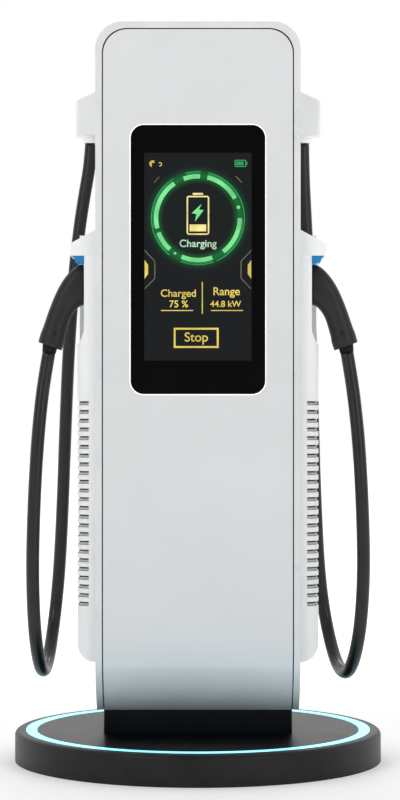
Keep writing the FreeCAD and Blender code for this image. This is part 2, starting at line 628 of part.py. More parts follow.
def make_rear_door():
    near = "(cabinet_back + rear_gap)"
    slab = block("rear_slab", "-rear_half", near, "rear_low", "2 * rear_half", "rear_depth",
                 "rear_high - rear_low")
    hollow = block("rear_hollow", "-rear_half + rear_skin", f"{near} - over",
                   "rear_low + rear_skin", "2 * (rear_half - rear_skin)",
                   "rear_depth - rear_skin + over", "rear_high - rear_low - 2 * rear_skin")
    slots = []
    for bank in ("intake_low", "exhaust_low"):
        for side in (-1, 1):
            for index in range(int(number("louvre_count"))):
                slots.append(block(f"{bank}_{'left' if side < 0 else 'right'}_{index}",
                                   f"{side} * louvre_place - louvre_half", "cabinet_back",
                                   f"{bank} + {index} * louvre_pitch", "2 * louvre_half",
                                   "60 * over", "louvre_height"))
    lock_way = rod("lock_way", "Y", "lock_place", "cabinet_back", "lock_height", "spindle_way",
                   "60 * over")
    node("rear_door_panel", cut("rear_door_cut", slab, [hollow, lock_way] + slots))

    blades = []
    for bank in ("intake_low", "exhaust_low"):
        for side in (-1, 1):
            for index in range(int(number("louvre_count"))):
                tag = f"{bank}_blade_{'left' if side < 0 else 'right'}_{index}"
                foot = f"{bank} + {index} * louvre_pitch + louvre_height"
                outside = "cabinet_back + rear_gap + rear_depth"
                edge = f"{outside} + blade_reach"
                corners = [(outside, foot), (edge, f"{foot} - blade_drop"),
                           (edge, f"{foot} - blade_drop + blade_thick"),
                           (outside, f"{foot} + blade_rise")]
                blades.append(pad(tag, "YZ", corners, f"{side} * louvre_place - louvre_half",
                                  "2 * louvre_half"))
    node("rear_louvre_hoods", group("louvre_group", blades))

    seals = []
    for name, inset in (("outer", "seal_inset"), ("inner", "(seal_inset + seal_width)")):
        seals.append(block("rear_seal_" + name, f"-rear_half + {inset}",
                           "cabinet_back + seal_gap", f"rear_low + {inset}",
                           f"2 * (rear_half - {inset})", "rear_gap - 2 * seal_gap",
                           f"rear_high - rear_low - 2 * {inset}"))
    node("rear_door_gasket", cut("rear_seal", seals[0], seals[1:]))

    filters = []
    for index, bank in enumerate(("intake_low", "exhaust_low")):
        filters.append(block(f"filter_{index}", "-louvre_place - louvre_half - filter_border",
                             f"{near} + filter_gap", f"{bank} - filter_drop",
                             "2 * (louvre_place + louvre_half + filter_border)",
                             "rear_depth - rear_skin - filter_gap",
                             "louvre_count * louvre_pitch + filter_drop + 2 * over"))
    node("air_filters", group("filter_group", filters))

    axis_y = f"{near} + rear_depth - knuckle_radius + knuckle_sink"
    fixed, swinging = knuckles("rear_hinge", "rear_half + knuckle_radius + door_seam", axis_y,
                               ["rear_low + hinge_low", "(rear_low + rear_high) / 2",
                                "rear_high - hinge_high"], "knuckle_radius + door_seam")
    node("rear_hinge_leaves", swinging)
    node("hinge_seats", group("hinge_seat_group", fixed + make_front_hinges()))

    outside = f"{near} + rear_depth"
    escutcheon = block("lock_plate", "lock_place - escutcheon_width / 2", outside,
                       "lock_height - escutcheon_half", "escutcheon_width",
                       "escutcheon_thick", "2 * escutcheon_half")
    way = rod("lock_plate_way", "Y", "lock_place", "cabinet_back", "lock_height",
              "spindle_way", "80 * over")
    node("rear_lock_plate", cut("lock_plate_cut", escutcheon, [way]))
    grip = fuse("lock_grip",
                [rod("lock_spindle", "Y", "lock_place", f"{near} + over", "lock_height",
                     "spindle_radius", "spindle_length"),
                 rod("lock_boss", "Y", "lock_place", f"{outside} + escutcheon_thick + boss_gap",
                     "lock_height", "boss_radius", "boss_length"),
                 block("lock_lever", "lock_place - lever_width / 2", f"{outside} + lever_out",
                       "lock_height - lever_length", "lever_width", "lever_thick",
                       "lever_length"),
                 block("lock_cam", "lock_place - lever_width / 2", f"{near} + over",
                       "lock_height", "lever_width", "cam_thick", "cam_length")])
    node("rear_lock_handle", grip)


def make_fans():
    """Two exhaust fans side by side behind the upper louvres."""
    cases = []
    mounts = []
    for name, sign in SIDES.items():
        x_mid = f"{sign} * fan_place"
        shell = block("fan_shell_" + name, f"{x_mid} - fan_side / 2", "fan_front",
                      "fan_height - fan_side / 2", "fan_side", "fan_depth", "fan_side")
        bore = rod("fan_bore_" + name, "Y", x_mid, "fan_front - over", "fan_height",
                   "fan_bore", "fan_depth + 2 * over")
        cases.append(cut("fan_case_" + name, shell, [bore]))
        front = "fan_front - fan_arm_thick"
        reach = "(fan_bore + fan_arm_sink)"
        arms = [block(f"fan_arm_{name}_wide", f"{x_mid} - {reach}", front,
                      "fan_height - fan_arm / 2", f"2 * {reach}", "fan_arm_thick", "fan_arm"),
                block(f"fan_arm_{name}_tall", f"{x_mid} - fan_arm / 2", front,
                      f"fan_height - {reach}", "fan_arm", "fan_arm_thick", f"2 * {reach}"),
                rod(f"fan_motor_{name}", "Y", x_mid, front, "fan_height", "fan_motor",
                    "fan_motor_length")]
        mounts.append(fuse("fan_mount_" + name, arms))

        wide = number("fan_bore - fan_tip_gap")
        hub = number("fan_hub")
        depth = number("rotor_depth")
        chord = number("blade_chord")
        plate = number("blade_plate")
        root = number("fan_hub - blade_root")
        rotor = Part.makeCylinder(hub, depth, FreeCAD.Vector(0, 0, 0), AXIS_Y)
        for turn in range(int(number("fan_blades"))):
            blade = Part.makeBox(chord, plate, wide - root,
                                 FreeCAD.Vector(-chord / 2, (depth - plate) / 2, root))
            blade.rotate(FreeCAD.Vector(0, depth / 2, 0), AXIS_Z, number("blade_twist"))
            blade.rotate(FreeCAD.Vector(0, 0, 0), AXIS_Y, 360 * turn / number("fan_blades"))
            rotor = rotor.fuse(blade)
        ring = Part.makeCylinder(wide, depth, FreeCAD.Vector(0, 0, 0), AXIS_Y)
        feature = doc.addObject("Part::Feature", "rotor_" + name)
        feature.Shape = rotor.common(ring)
        feature.Placement = FreeCAD.Placement(
            FreeCAD.Vector(number(x_mid), number("fan_front + rotor_gap"),
                           number("fan_height")),
            FreeCAD.Rotation())
        node(f"{name}_fan_rotor", feature)
    shelf = block("fan_shelf", "-shell_half + shell_wall", "fan_front",
                  "fan_height - fan_side / 2 - shelf_thick", "2 * (shell_half - shell_wall)",
                  "cabinet_back - fan_front - shelf_gap", "shelf_thick")
    node("fan_tray", fuse("fan_tray_solid", [shelf] + cases + mounts))


# ---------------------------------------------------------------- side wings
def wing_plan(name, inset, low, high):
    """The wing's plan, drawn on the right-hand side, as a prism."""
    corners = [("trim_half + wing_seam", f"wing_front + {inset}"),
               (f"wing_half - {inset}", f"wing_front + {inset}"),
               (f"wing_half - {inset}", f"wing_back - {inset}"),
               ("shell_half + wing_seam", f"wing_back - {inset}"),
               ("shell_half + wing_seam", "front_face + trim_depth + wing_step"),
               ("trim_half + wing_seam", "front_face + trim_depth + wing_step")]
    body = pad(name, "XY", corners, low, f"({high}) - ({low})")
    reach = number(f"wing_half - {inset}")
    return rounded(body, f"wing_round - {inset}", lambda edge: along(edge, AXIS_Z)
                   and abs(edge.CenterOfMass.x - reach) < 0.01)


def wing_front_view(name, inset):
    head = f"wing_high - {inset} + 60 * over"
    corners = [("shell_half - wing_sink", f"wing_low + {inset}"),
               (f"wing_half - {inset}", f"wing_low + {inset}"),
               (f"wing_half - {inset}", head), ("shell_half - wing_sink", head)]
    body = pad(name, "XZ", corners, "-wing_back - 10 * over",
               "wing_back - wing_front + 20 * over")
    level = number(f"wing_low + {inset}")
    reach = number(f"wing_half - {inset}")
    return rounded(body, f"wing_foot_round - {inset}", lambda edge: along(edge, AXIS_Y)
                   and abs(edge.CenterOfMass.z - level) < 0.01
                   and abs(edge.CenterOfMass.x - reach) < 0.01)


def pocket_shape(name, inset, front, back):
    """The holster's pocket seen from the front, open outwards."""
    outside = "hood_half + 60 * over"
    corners = [(f"pocket_wall - {inset}", "hood_low"), (outside, "hood_low"),
               (outside, f"pocket_lip - pocket_fall - {inset}"),
               ("wing_half", f"pocket_lip - {inset}"),
               (f"pocket_wall + pocket_step - {inset}", f"pocket_lip + pocket_rise - {inset}"),
               (f"pocket_wall - {inset}", f"pocket_low - {inset}")]
    return pad(name, "XZ", corners, f"-({back})", f"({back}) - ({front})")


def make_wing():
    outer = common("wing_outer", wing_plan("wing_outer_plan", "0", "wing_low", "wing_high"),
                   wing_front_view("wing_outer_view", "0"))
    inner = common("wing_inner", wing_plan("wing_inner_plan", "wing_wall",
                                           "wing_low + wing_wall", "hood_low - wing_wall"),
                   wing_front_view("wing_inner_view", "wing_wall"))
    # the hollow is open towards the cabinet
    side = block("wing_open_side", "shell_half + wing_seam - 5 * over",
                 "wing_front + wing_wall", "wing_low + wing_wall", "wing_sink",
                 "wing_back - wing_front - 2 * wing_wall",
                 "hood_low - wing_low - 2 * wing_wall")
    pocket = pocket_shape("wing_pocket", "0", "wing_front - 20 * over", "pocket_back")
    top = block("wing_top_cut", "0", "wing_front - over", "hood_low", "2 * wing_half",
                "pocket_back - wing_front + over", "100 * over")
    slots = []
    for index in range(int(number("slot_count"))):
        slots.append(block(f"slot_{index}", "slot_inner", "wing_front - 10 * over",
                           f"slot_top - {index} * slot_pitch - slot_height / 2", "80 * over",
                           "slot_back - wing_front + 10 * over", "slot_height"))
    wing = cut("wing", outer, [inner, side, pocket, top] + slots)
    node("right_wing_cover", wing)
    node("left_wing_cover", mirrored("left_wing", wing))


def make_holster():
    """Hood over the pocket, pocket liner with the connector's seat, and the status light."""
    inner = "trim_half + wing_seam"
    hood = pad("hood_profile", "XZ",
               [(inner, "hood_low"), ("hood_half", "hood_low"), ("hood_half", "hood_high"),
                (inner, "wing_high + hood_crown")],
               "-pocket_back", "pocket_back - wing_front")
    reach = number("hood_half")
    rounded(hood, "hood_round", lambda edge: along(edge, AXIS_Z)
            and abs(edge.CenterOfMass.x - reach) < 0.01)
    tray = block("hood_tray", "pocket_wall", "wing_front + tray_wall", "hood_low - over",
                 "hood_half - pocket_wall - tray_wall",
                 "pocket_back - wing_front - 2 * tray_wall", "tray_depth + over")
    node("right_holster_hood", cut("hood", hood, [tray]))
    node("left_holster_hood", mirrored("left_hood", parts["right_holster_hood"]))

    wall = block("liner_wall", "pocket_wall - liner", "wing_front + wing_wall", "pocket_low",
                 "liner", "pocket_back - wing_front - wing_wall", "hood_low - pocket_low")
    back = block("liner_back", "pocket_wall - liner", "pocket_back",
                 "pocket_lip - liner", "wing_half - wing_wall - pocket_wall + liner",
                 "liner", "hood_low - pocket_lip + liner - wing_wall")
    foot = pad("liner_foot", "XZ",
               [("pocket_wall - liner", "pocket_low"),
                ("pocket_wall - liner", "pocket_low - liner_drop"),
                ("pocket_wall + pocket_step - liner", "pocket_lip + pocket_rise - lip_thick"),
                ("wing_half - wing_wall", "pocket_lip - lip_thick"),
                ("wing_half - wing_wall", "pocket_lip + lip_fit"),
                ("pocket_wall + pocket_step", "pocket_lip + pocket_rise"),
                ("pocket_wall", "pocket_low")],
               "-pocket_back", "pocket_back - wing_front - wing_wall")
    seat = nose_prism("seat_rim", "nose_gap + seat_rim", "pocket_wall - liner - seat_depth",
                      "seat_depth + liner")
    way = nose_prism("seat_way", "nose_gap", "pocket_wall - 40 * over", "80 * over")
    room = wing_plan("liner_room", "wing_wall", "wing_low", "hood_low")
    lining = common("liner_trimmed", fuse("holster_solid", [wall, back, foot, seat]), room)
    holster = cut("holster", lining, [way, parts["right_wing_cover"]])
    node("right_holster", holster)
    node("left_holster", mirrored("left_holster_twin", holster))

    light = pad("light_profile", "XZ",
                [("pocket_wall + light_gap", "light_low"),
                 ("light_reach - light_slant", "light_low"),
                 ("light_reach", "light_high"), ("pocket_wall + light_gap", "light_high")],
                "-pocket_back + light_end", "pocket_back - wing_front - 2 * light_end")
    node("right_holster_light", light)
    node("left_holster_light", mirrored("left_light", light))


def nose_prism(name, spread, start, length):
    """The connector face's rounded outline, drawn out along X."""
    wide = f"(nose_wide / 2 + {spread})"
    tall = f"(nose_tall / 2 + {spread})"
    corners = [(f"plug_place - {wide}", f"plug_height - {tall}"),
               (f"plug_place + {wide}", f"plug_height - {tall}"),
               (f"plug_place + {wide}", f"plug_height + {tall}"),
               (f"plug_place - {wide}", f"plug_height + {tall}")]
    body = pad(name, "YZ", corners, start, length)
    return rounded(body, f"nose_round + {spread}", lambda edge: along(edge, AXIS_X))


def make_outlet():
    """The hood high on each side that the charging cable comes down from."""
    for name, sign in SIDES.items():
        inner = "shell_half + outlet_seam"
        corners = [(inner, "outlet_low"), ("outlet_half", "outlet_low"),
                   ("outlet_half", "outlet_high - outlet_slope"), (inner, "outlet_high")]
        hood = pad("outlet_" + name, "XZ", corners, "-outlet_back", "outlet_back - outlet_front")
        reach = number("outlet_half")
        rounded(hood, "outlet_round", lambda edge: along(edge, AXIS_Z)
                and abs(edge.CenterOfMass.x - reach) < 0.01)
        hollow = pad("outlet_hollow_" + name, "XZ",
                     [("shell_half - 5 * over", "outlet_low + outlet_wall"),
                      ("outlet_half - outlet_wall", "outlet_low + outlet_wall"),
                      ("outlet_half - outlet_wall", "outlet_high - outlet_slope - outlet_wall"),
                      ("shell_half - 5 * over", "outlet_high - 2 * outlet_wall")],
                     "-outlet_back + outlet_wall", "outlet_back - outlet_front - 2 * outlet_wall")
        gland_x = "gland_" + name
        way = rod("outlet_way_" + name, "Z", gland_x, "gland_place", "outlet_low - over",
                  "cable_diameter / 2 + gland_way", "outlet_wall + 2 * over")
        shaped = cut("outlet_hood_" + name, hood, [hollow, way])
        node(f"{name}_cable_outlet", mirrored("outlet_twin", shaped) if sign < 0 else shaped)
        top = rod("gland_top_" + name, "Z", f"{sign} * {gland_x}", "gland_place",
                  "outlet_low - gland_nut", "gland_radius", "gland_nut")
        lower = doc.addObject("Part::Cone", "gland_cone_" + name)
        lower.setExpression("Radius1", bound("gland_radius - gland_taper"))
        lower.setExpression("Radius2", bound("gland_radius - gland_step"))
        lower.setExpression("Height", bound("gland_height - gland_nut"))
        place(lower, f"{sign} * {gland_x}", "gland_place", "outlet_low - gland_height")
        stem = rod("gland_stem_" + name, "Z", f"{sign} * {gland_x}", "gland_place",
                   "outlet_low - over", "cable_diameter / 2 + gland_fit",
                   "outlet_wall + gland_stem")
        node(f"{name}_cable_gland", fuse("gland_" + name, [top, lower, stem]))


# ---------------------------------------------------------------- connectors
# Sections of the grip: how far out and down from the plug's seat, its tilt in
# degrees, half its height and half its width, all in mm.
GRIP_SECTIONS = [(2, 0, 0, 50, 33), (20, -3, 6, 50, 34), (47, -36, 24, 41, 33),
                 (62, -73, 42, 33.5, 31), (73, -104, 62, 31, 30), (81.5, -133, 76, 30.5, 30),
                 (86.5, -146.5, 80, 27, 26.5)]


# The plug's contacts: sideways and up from its middle, and the radius, in mm.
PLUG_PINS = [(0, 24, 4), (-12, 14, 4), (12, 14, 4), (0, 5, 4), (-11, -22, 7), (11, -22, 7)]


def grip_section(sign, offset, drop, tilt, tall, wide):
    """One oval section of the grip, square to its axis."""
    angle = math.radians(tilt)
    centre = FreeCAD.Vector(sign * (number("pocket_wall") + offset), number("plug_place"),
                            number("plug_height") + drop)
    up = FreeCAD.Vector(sign * math.sin(angle), 0, math.cos(angle))
    oval = Part.Ellipse(centre + up * tall, centre + AXIS_Y * wide, centre)
    return Part.Wire([oval.toBSpline().toShape()]), centre, angle


def make_connectors():
    for name, sign in SIDES.items():
        wires = []
        for section in GRIP_SECTIONS:
            wire, centre, angle = grip_section(sign, *section)
            wires.append(wire)
        feature = doc.addObject("Part::Feature", "grip_" + name)
        feature.Shape = Part.makeLoft(wires, True, False)
        node(f"{name}_connector_grip", feature)

        way = FreeCAD.Vector(sign * math.cos(angle), 0, -math.sin(angle))
        boot = doc.addObject("Part::Feature", "boot_" + name)
        wide = number("cable_diameter") / 2
        boot.Shape = Part.makeCone(wide + number("boot_swell"), wide + number("boot_end"),
                                   number("boot_length"), centre, way)
        node(f"{name}_cable_boot", boot)

        nose = nose_prism("nose_" + name, "0", "pocket_wall - nose_length + over",
                          "nose_length")
        recess = nose_prism("nose_recess_" + name, "-nose_wall",
                            "pocket_wall - nose_length - over", "nose_recess + over")
        hollow = cut("nose_hollow_" + name, nose, [recess])
        pins = []
        for index, (aside, height, radius) in enumerate(PLUG_PINS):
            pins.append(rod(f"pin_{name}_{index}", "X", "pocket_wall - nose_length + pin_sink",
                            f"plug_place + {aside}", f"plug_height + {height}", radius,
                            "pin_length"))
        whole = fuse("nose_whole_" + name, [hollow] + pins)
        node(f"{name}_connector_nose",
             mirrored("nose_twin_" + name, whole) if sign < 0 else whole)


# Each cable's route from its gland round the hanging loop to its connector.
CABLE_ROUTES = {
    "left": [(-281, 195, 1586), (-285, 197, 1530), (-299, 202, 1455), (-315, 208, 1352),
             (-331, 212, 1200), (-343, 215, 1020), (-351, 216, 820), (-358, 217, 620),
             (-367, 216, 450), (-380, 214, 324), (-391, 112, 221), (-398, -32, 221),
             (-407, -134, 324), (-413, -136, 470), (-410, -133, 630), (-402, -128, 790),
             (-392, -121, 905), (-381.5, -115, 981.6), (-372.6, -115, 1032.4)],
    "right": [(276, 195, 1586), (277, 198, 1530), (280, 203, 1455), (286, 209, 1352),
              (293, 213, 1200), (299, 216, 1020), (304, 217, 820), (311, 218, 620),
              (320, 216, 450), (338, 213, 320), (362, 112, 216), (384, -32, 216),
              (403, -134, 320), (414, -136, 470), (411, -133, 630), (403, -128, 790),
              (392, -121, 905), (381.5, -115, 981.6), (372.6, -115, 1032.4)],
}
RUN_SHARE = 0.45


def cable_path(route):
    """Straight runs joined by tangent arcs; returns the wire and its arcs' radii."""
    points = [FreeCAD.Vector(*point) for point in route]
    edges = []
    radii = []
    here = points[0]
    for before, corner, after in zip(points, points[1:], points[2:]):
        come = corner - before
        leave = after - corner
        turn = come.getAngle(leave)
        reach = RUN_SHARE * min(come.Length, leave.Length)
        radius = reach / math.tan(turn / 2)
        start = corner - come.normalize() * reach
        stop = corner + leave.normalize() * reach
        inward = (leave - come).normalize()
        centre = corner + inward * (radius / math.cos(turn / 2))
        edges.append(Part.LineSegment(here, start).toShape())
        edges.append(Part.Arc(start, centre - inward * radius, stop).toShape())
        radii.append(radius)
        here = stop
    edges.append(Part.LineSegment(here, points[-1]).toShape())
    return Part.Wire(edges), radii


def make_cables():
    for name, route in CABLE_ROUTES.items():
        wire, radii = cable_path(route)
        radius = number("cable_diameter") / 2
        start = wire.Edges[0]
        ring = Part.Wire([Part.Circle(start.valueAt(start.FirstParameter),
                                      start.tangentAt(start.FirstParameter), radius).toShape()])
        feature = doc.addObject("Part::Feature", "cable_tube_" + name)
        feature.Shape = wire.makePipeShell([ring], True, False)
        node(f"{name}_cable", feature)
        ideal = math.pi * radius ** 2 * wire.Length
        print(name, "cable", round(wire.Length), "mm long, volume over section x length",
              round(feature.Shape.Volume / ideal, 4), "radii",
              " ".join(str(round(value)) for value in radii))


# ---------------------------------------------------------------- inside
def make_inside():
    rails = []
    high = "rack_low + module_count * (module_height + module_gap)"
    for name, sign in SIDES.items():
        edge = "-rack_half - rail_width" if sign < 0 else "rack_half"
        for index, depth in enumerate(("module_front", "module_back - rail_depth")):
            rails.append(block(f"rail_{name}_{index}", edge, depth, "rack_low - rail_foot",
                               "rail_width", "rail_depth", f"{high} - rack_low + rail_foot"))
    node("rack_rails", group("rail_group", rails))
    modules = []
    for index in range(int(number("module_count"))):
        foot = f"rack_low + {index} * (module_height + module_gap)"
        case = block(f"module_case_{index}", "-rack_half + over",
                     "module_front + grip_reach - grip_height", foot,
                     "2 * (rack_half - over)",
                     "module_back - module_front - grip_reach + grip_height", "module_height")
        grips = [block(f"module_grip_{side}_{index}", f"{side} * grip_place - grip_length / 2",
                       "module_front - grip_height",
                       f"{foot} + (module_height - grip_height) / 2", "grip_length",
                       "grip_reach", "grip_height") for side in (-1, 1)]
        modules.append(fuse(f"module_{index}", [case] + grips))
    node("power_modules", group("module_group", modules))

    sheet = block("equipment_sheet", "-equipment_half", "plate_place", "plate_low",
                  "2 * equipment_half", "plate_sheet", "plate_high - plate_low")
    rests = []
    for name, sign in SIDES.items():
        edge = "-shell_half + shell_wall" if sign < 0 else "equipment_half"
        rests.append(block("plate_rest_" + name, edge, "plate_place", "plate_low + rest_end",
                           "shell_half - shell_wall - equipment_half", "rest_depth",
                           "plate_high - plate_low - 2 * rest_end"))
    node("equipment_plate", fuse("equipment_panel", [sheet] + rests))
    contactors = []
    for index in range(3):
        contactors.append(block(f"contactor_{index}",
                                f"contactor_first + {index} * contactor_pitch",
                                "plate_place - contactor_deep", "plate_low + contactor_rise",
                                "contactor_wide", "contactor_deep", "contactor_tall"))
    node("contactors", group("contactor_group", contactors))
    breaker = block("breaker_case", "breaker_side", "plate_place - breaker_deep",
                    "plate_low + breaker_rise", "breaker_wide", "breaker_deep", "breaker_tall")
    slot = block("breaker_slot", "toggle_slot_side", "plate_place - breaker_deep - over",
                 "plate_low + toggle_slot_rise", "toggle_slot_wide", "toggle_slot_deep + over",
                 "toggle_slot_tall")
    node("main_breaker", cut("breaker", breaker, [slot]))
    hub = rod("toggle_hub", "X", "toggle_slot_side + toggle_gap", "plate_place - toggle_depth",
              "plate_low + toggle_rise", "toggle_hub", "toggle_slot_wide - 2 * toggle_gap")
    lever = block("toggle_lever", "lever_side", "plate_place - lever_front",
                  "plate_low + toggle_rise - lever_tall / 2", "lever_wide", "lever_deep",
                  "lever_tall")
    node("main_breaker_toggle", fuse("toggle", [hub, lever]))
    node("control_unit", block("control_case", "control_side", "plate_place - control_deep",
                               "plate_low + control_rise", "control_wide", "control_deep",
                               "control_tall"))
    devices = [block(f"arrester_{index}", f"control_side + {index} * arrester_pitch",
                     "plate_place - arrester_deep", "plate_low + arrester_rise",
                     "arrester_wide", "arrester_deep", "arrester_tall") for index in range(4)]
    devices.append(block("terminal_case", "terminal_side", "plate_place - terminal_deep",
                         "plate_low + terminal_rise", "terminal_wide", "terminal_deep",
                         "terminal_tall"))
    node("rail_devices", group("rail_device_group", devices))


make_base()
make_pedestal()
make_cabinet()
make_front_door()
make_rear_door()
make_fans()
make_wing()
make_holster()
make_outlet()
make_connectors()
make_cables()
make_inside()
doc.recompute()

failed = [obj.Name for obj in doc.Objects if {"Invalid", "Error"} & set(obj.State)]
for name, obj in parts.items():
    if obj.Shape.isNull() or not obj.Shape.isValid() or obj.Shape.Volume <= 0:
        failed.append(name)
if failed:
    raise RuntimeError("these did not build: " + ", ".join(failed))
os.makedirs("parts", exist_ok=True)
for name, obj in parts.items():
    obj.Shape.exportStep(f"parts/{name}.step")
print(len(parts), "pieces written")
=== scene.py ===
"""A free-standing EV charging post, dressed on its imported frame, laid out as an add-on."""
import math

import bmesh
import bpy
from bpy.props import FloatProperty, FloatVectorProperty, IntProperty, PointerProperty
from mathutils import Matrix, Vector


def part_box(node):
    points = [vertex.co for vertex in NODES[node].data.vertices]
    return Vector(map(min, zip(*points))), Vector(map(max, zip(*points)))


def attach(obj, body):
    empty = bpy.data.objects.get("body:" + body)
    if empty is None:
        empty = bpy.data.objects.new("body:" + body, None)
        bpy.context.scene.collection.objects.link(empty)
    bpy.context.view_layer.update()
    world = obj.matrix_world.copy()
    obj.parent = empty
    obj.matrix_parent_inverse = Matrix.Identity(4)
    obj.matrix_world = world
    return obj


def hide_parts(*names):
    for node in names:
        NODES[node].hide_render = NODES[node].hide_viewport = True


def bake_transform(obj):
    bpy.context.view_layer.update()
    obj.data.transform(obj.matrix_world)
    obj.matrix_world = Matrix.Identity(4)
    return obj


bl_info = {
    "name": "EV Charging Post",
    "version": (1, 0, 0),
    "blender": (4, 5, 0),
    "location": "3D View > Sidebar > Charging Post",
    "description": "Builds the looks of a lit, corded EV charging post around its frame",
    "category": "Add Mesh",
}

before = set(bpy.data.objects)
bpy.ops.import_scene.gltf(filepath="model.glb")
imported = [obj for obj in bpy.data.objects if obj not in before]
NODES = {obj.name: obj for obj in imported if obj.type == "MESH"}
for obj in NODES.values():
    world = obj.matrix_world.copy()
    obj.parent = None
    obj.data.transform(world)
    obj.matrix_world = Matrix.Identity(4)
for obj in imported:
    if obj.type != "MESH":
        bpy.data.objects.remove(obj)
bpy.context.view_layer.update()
SIDES = {"left": -1, "right": 1}


# ---------------------------------------------------------------- colours and nodes
def linear(code):
    """An sRGB hex colour, such as #d4d6d7, as linear RGBA."""
    channels = [int(code[index:index + 2], 16) / 255 for index in (1, 3, 5)]
    return tuple(c / 12.92 if c <= 0.04045 else ((c + 0.055) / 1.055) ** 2.4
                 for c in channels) + (1.0,)


def add(tree, kind, links=(), inputs=(), **settings):
    """One shader node with its settings, input values and (socket, input) links."""
    node = tree.nodes.new(kind)
    for name, value in settings.items():
        setattr(node, name, value)
    for name, value in dict(inputs).items():
        node.inputs[name].default_value = value
    for source, name in links:
        tree.links.new(source, node.inputs[name])
    return node


def surface(name, colour, roughness, metallic=0.0, ior=1.5, coat=0.0, coat_rough=0.05,
            specular=0.5):
    """A new material with one Principled surface; returns the material, tree and shader."""
    material = bpy.data.materials.new(name)
    material.use_nodes = True
    tree = material.node_tree
    tree.nodes.clear()
    shader = add(tree, "ShaderNodeBsdfPrincipled",
                 inputs={"Base Color": linear(colour), "Roughness": roughness,
                         "Metallic": metallic, "IOR": ior, "Coat Weight": coat,
                         "Coat Roughness": coat_rough, "Specular IOR Level": specular})
    add(tree, "ShaderNodeOutputMaterial", [(shader.outputs["BSDF"], "Surface")])
    material.diffuse_color = linear(colour)
    return material, tree, shader


def noise(tree, size_mm, detail=2.0, stretch=(1, 1, 1), rough=0.5):
    """Noise on the object's own coordinates whose grain is about size_mm across."""
    place = add(tree, "ShaderNodeTexCoord")
    scale = tuple(1000 / size_mm * part for part in stretch)
    turned = add(tree, "ShaderNodeMapping", [(place.outputs["Object"], "Vector")],
                 {"Scale": scale})
    return add(tree, "ShaderNodeTexNoise", [(turned.outputs["Vector"], "Vector")],
               {"Scale": 1.0, "Detail": detail, "Roughness": rough})


def vary(tree, shader, source, low, high, socket="Roughness"):
    """Let a grain move a shader value between two limits."""
    spread = add(tree, "ShaderNodeMapRange", [(source, "Value")],
                 {"From Min": 0.3, "From Max": 0.7, "To Min": low, "To Max": high})
    tree.links.new(spread.outputs["Result"], shader.inputs[socket])


def bump(tree, shader, source, height_mm, strength=0.3):
    """Raise a surface by a grain."""
    raised = add(tree, "ShaderNodeBump", [(source, "Height")],
                 {"Strength": strength, "Distance": height_mm / 1000})
    tree.links.new(raised.outputs["Normal"], shader.inputs["Normal"])


def tint(tree, shader, source, first, second):
    """Let a grain move the colour between two near shades."""
    ramp = add(tree, "ShaderNodeValToRGB", [(source, "Fac")])
    ramp.color_ramp.elements[0].position = 0.35
    ramp.color_ramp.elements[1].position = 0.65
    ramp.color_ramp.elements[0].color = linear(first)
    ramp.color_ramp.elements[1].color = linear(second)
    tree.links.new(ramp.outputs["Color"], shader.inputs["Base Color"])


# ---------------------------------------------------------------- materials
def powder_coat_white():
    """Polyester powder coat on sheet steel: satin, with a faint orange-peel ripple."""
    material, tree, shader = surface("powder_coat_white", "#dbdcdd", 0.36, coat=0.35,
                                     coat_rough=0.09)
    cloud = noise(tree, 220, 2)
    tint(tree, shader, cloud.outputs["Fac"], "#dadbdc", "#dddedf")
    peel = noise(tree, 3.0, 1)  # the ripple is near 1 mm, drawn at 3 mm so that it shows
    bump(tree, shader, peel.outputs["Fac"], 0.02, 0.06)
    vary(tree, shader, cloud.outputs["Fac"], 0.34, 0.4)
    return material


def painted_trim():
    """Painted aluminium profile: a little brighter and glossier than the panel."""
    material, tree, shader = surface("painted_trim", "#d0d2d3", 0.3, coat=0.3, coat_rough=0.15)
    cloud = noise(tree, 90, 2)
    tint(tree, shader, cloud.outputs["Fac"], "#dadcdd", "#e0e2e2")
    vary(tree, shader, cloud.outputs["Fac"], 0.26, 0.34)
    return material


def moulded_white():
    """Textured ASA side mouldings: matte white with a fine spark grain."""
    material, tree, shader = surface("moulded_white", "#f0f1f1", 0.48)
    cloud = noise(tree, 120, 2)
    tint(tree, shader, cloud.outputs["Fac"], "#eff0f0", "#f2f3f3")
    grain = noise(tree, 2.0, 2)
    bump(tree, shader, grain.outputs["Fac"], 0.06, 0.2)
    vary(tree, shader, grain.outputs["Fac"], 0.44, 0.54)
    return material


def lacquer_black():
    """Black lacquered steel: deep black with a soft, low sheen."""
    material, tree, shader = surface("lacquer_black", "#08080a", 0.34, specular=0.1)
    haze = noise(tree, 45, 3)
    vary(tree, shader, haze.outputs["Fac"], 0.33, 0.35)
    return material


def satin_black():
    """Black powder coat on the base's rim: satin, with a fine grain."""
    material, tree, shader = surface("satin_black", "#1b1b1c", 0.42, specular=0.22)
    grain = noise(tree, 1.6, 2)
    bump(tree, shader, grain.outputs["Fac"], 0.05, 0.2)
    cloud = noise(tree, 80, 2)
    tint(tree, shader, cloud.outputs["Fac"], "#1a1a1b", "#222223")
    vary(tree, shader, cloud.outputs["Fac"], 0.4, 0.46)
    return material


def glove_black():
    """Glass-filled nylon grip: nearly black, with a soft moulded sheen."""
    material, tree, shader = surface("glove_black", "#131314", 0.42, specular=0.4)
    grain = noise(tree, 1.4, 2)
    bump(tree, shader, grain.outputs["Fac"], 0.08, 0.25)
    vary(tree, shader, grain.outputs["Fac"], 0.42, 0.54)
    cloud = noise(tree, 40, 2)
    tint(tree, shader, cloud.outputs["Fac"], "#101011", "#161617")
    return material


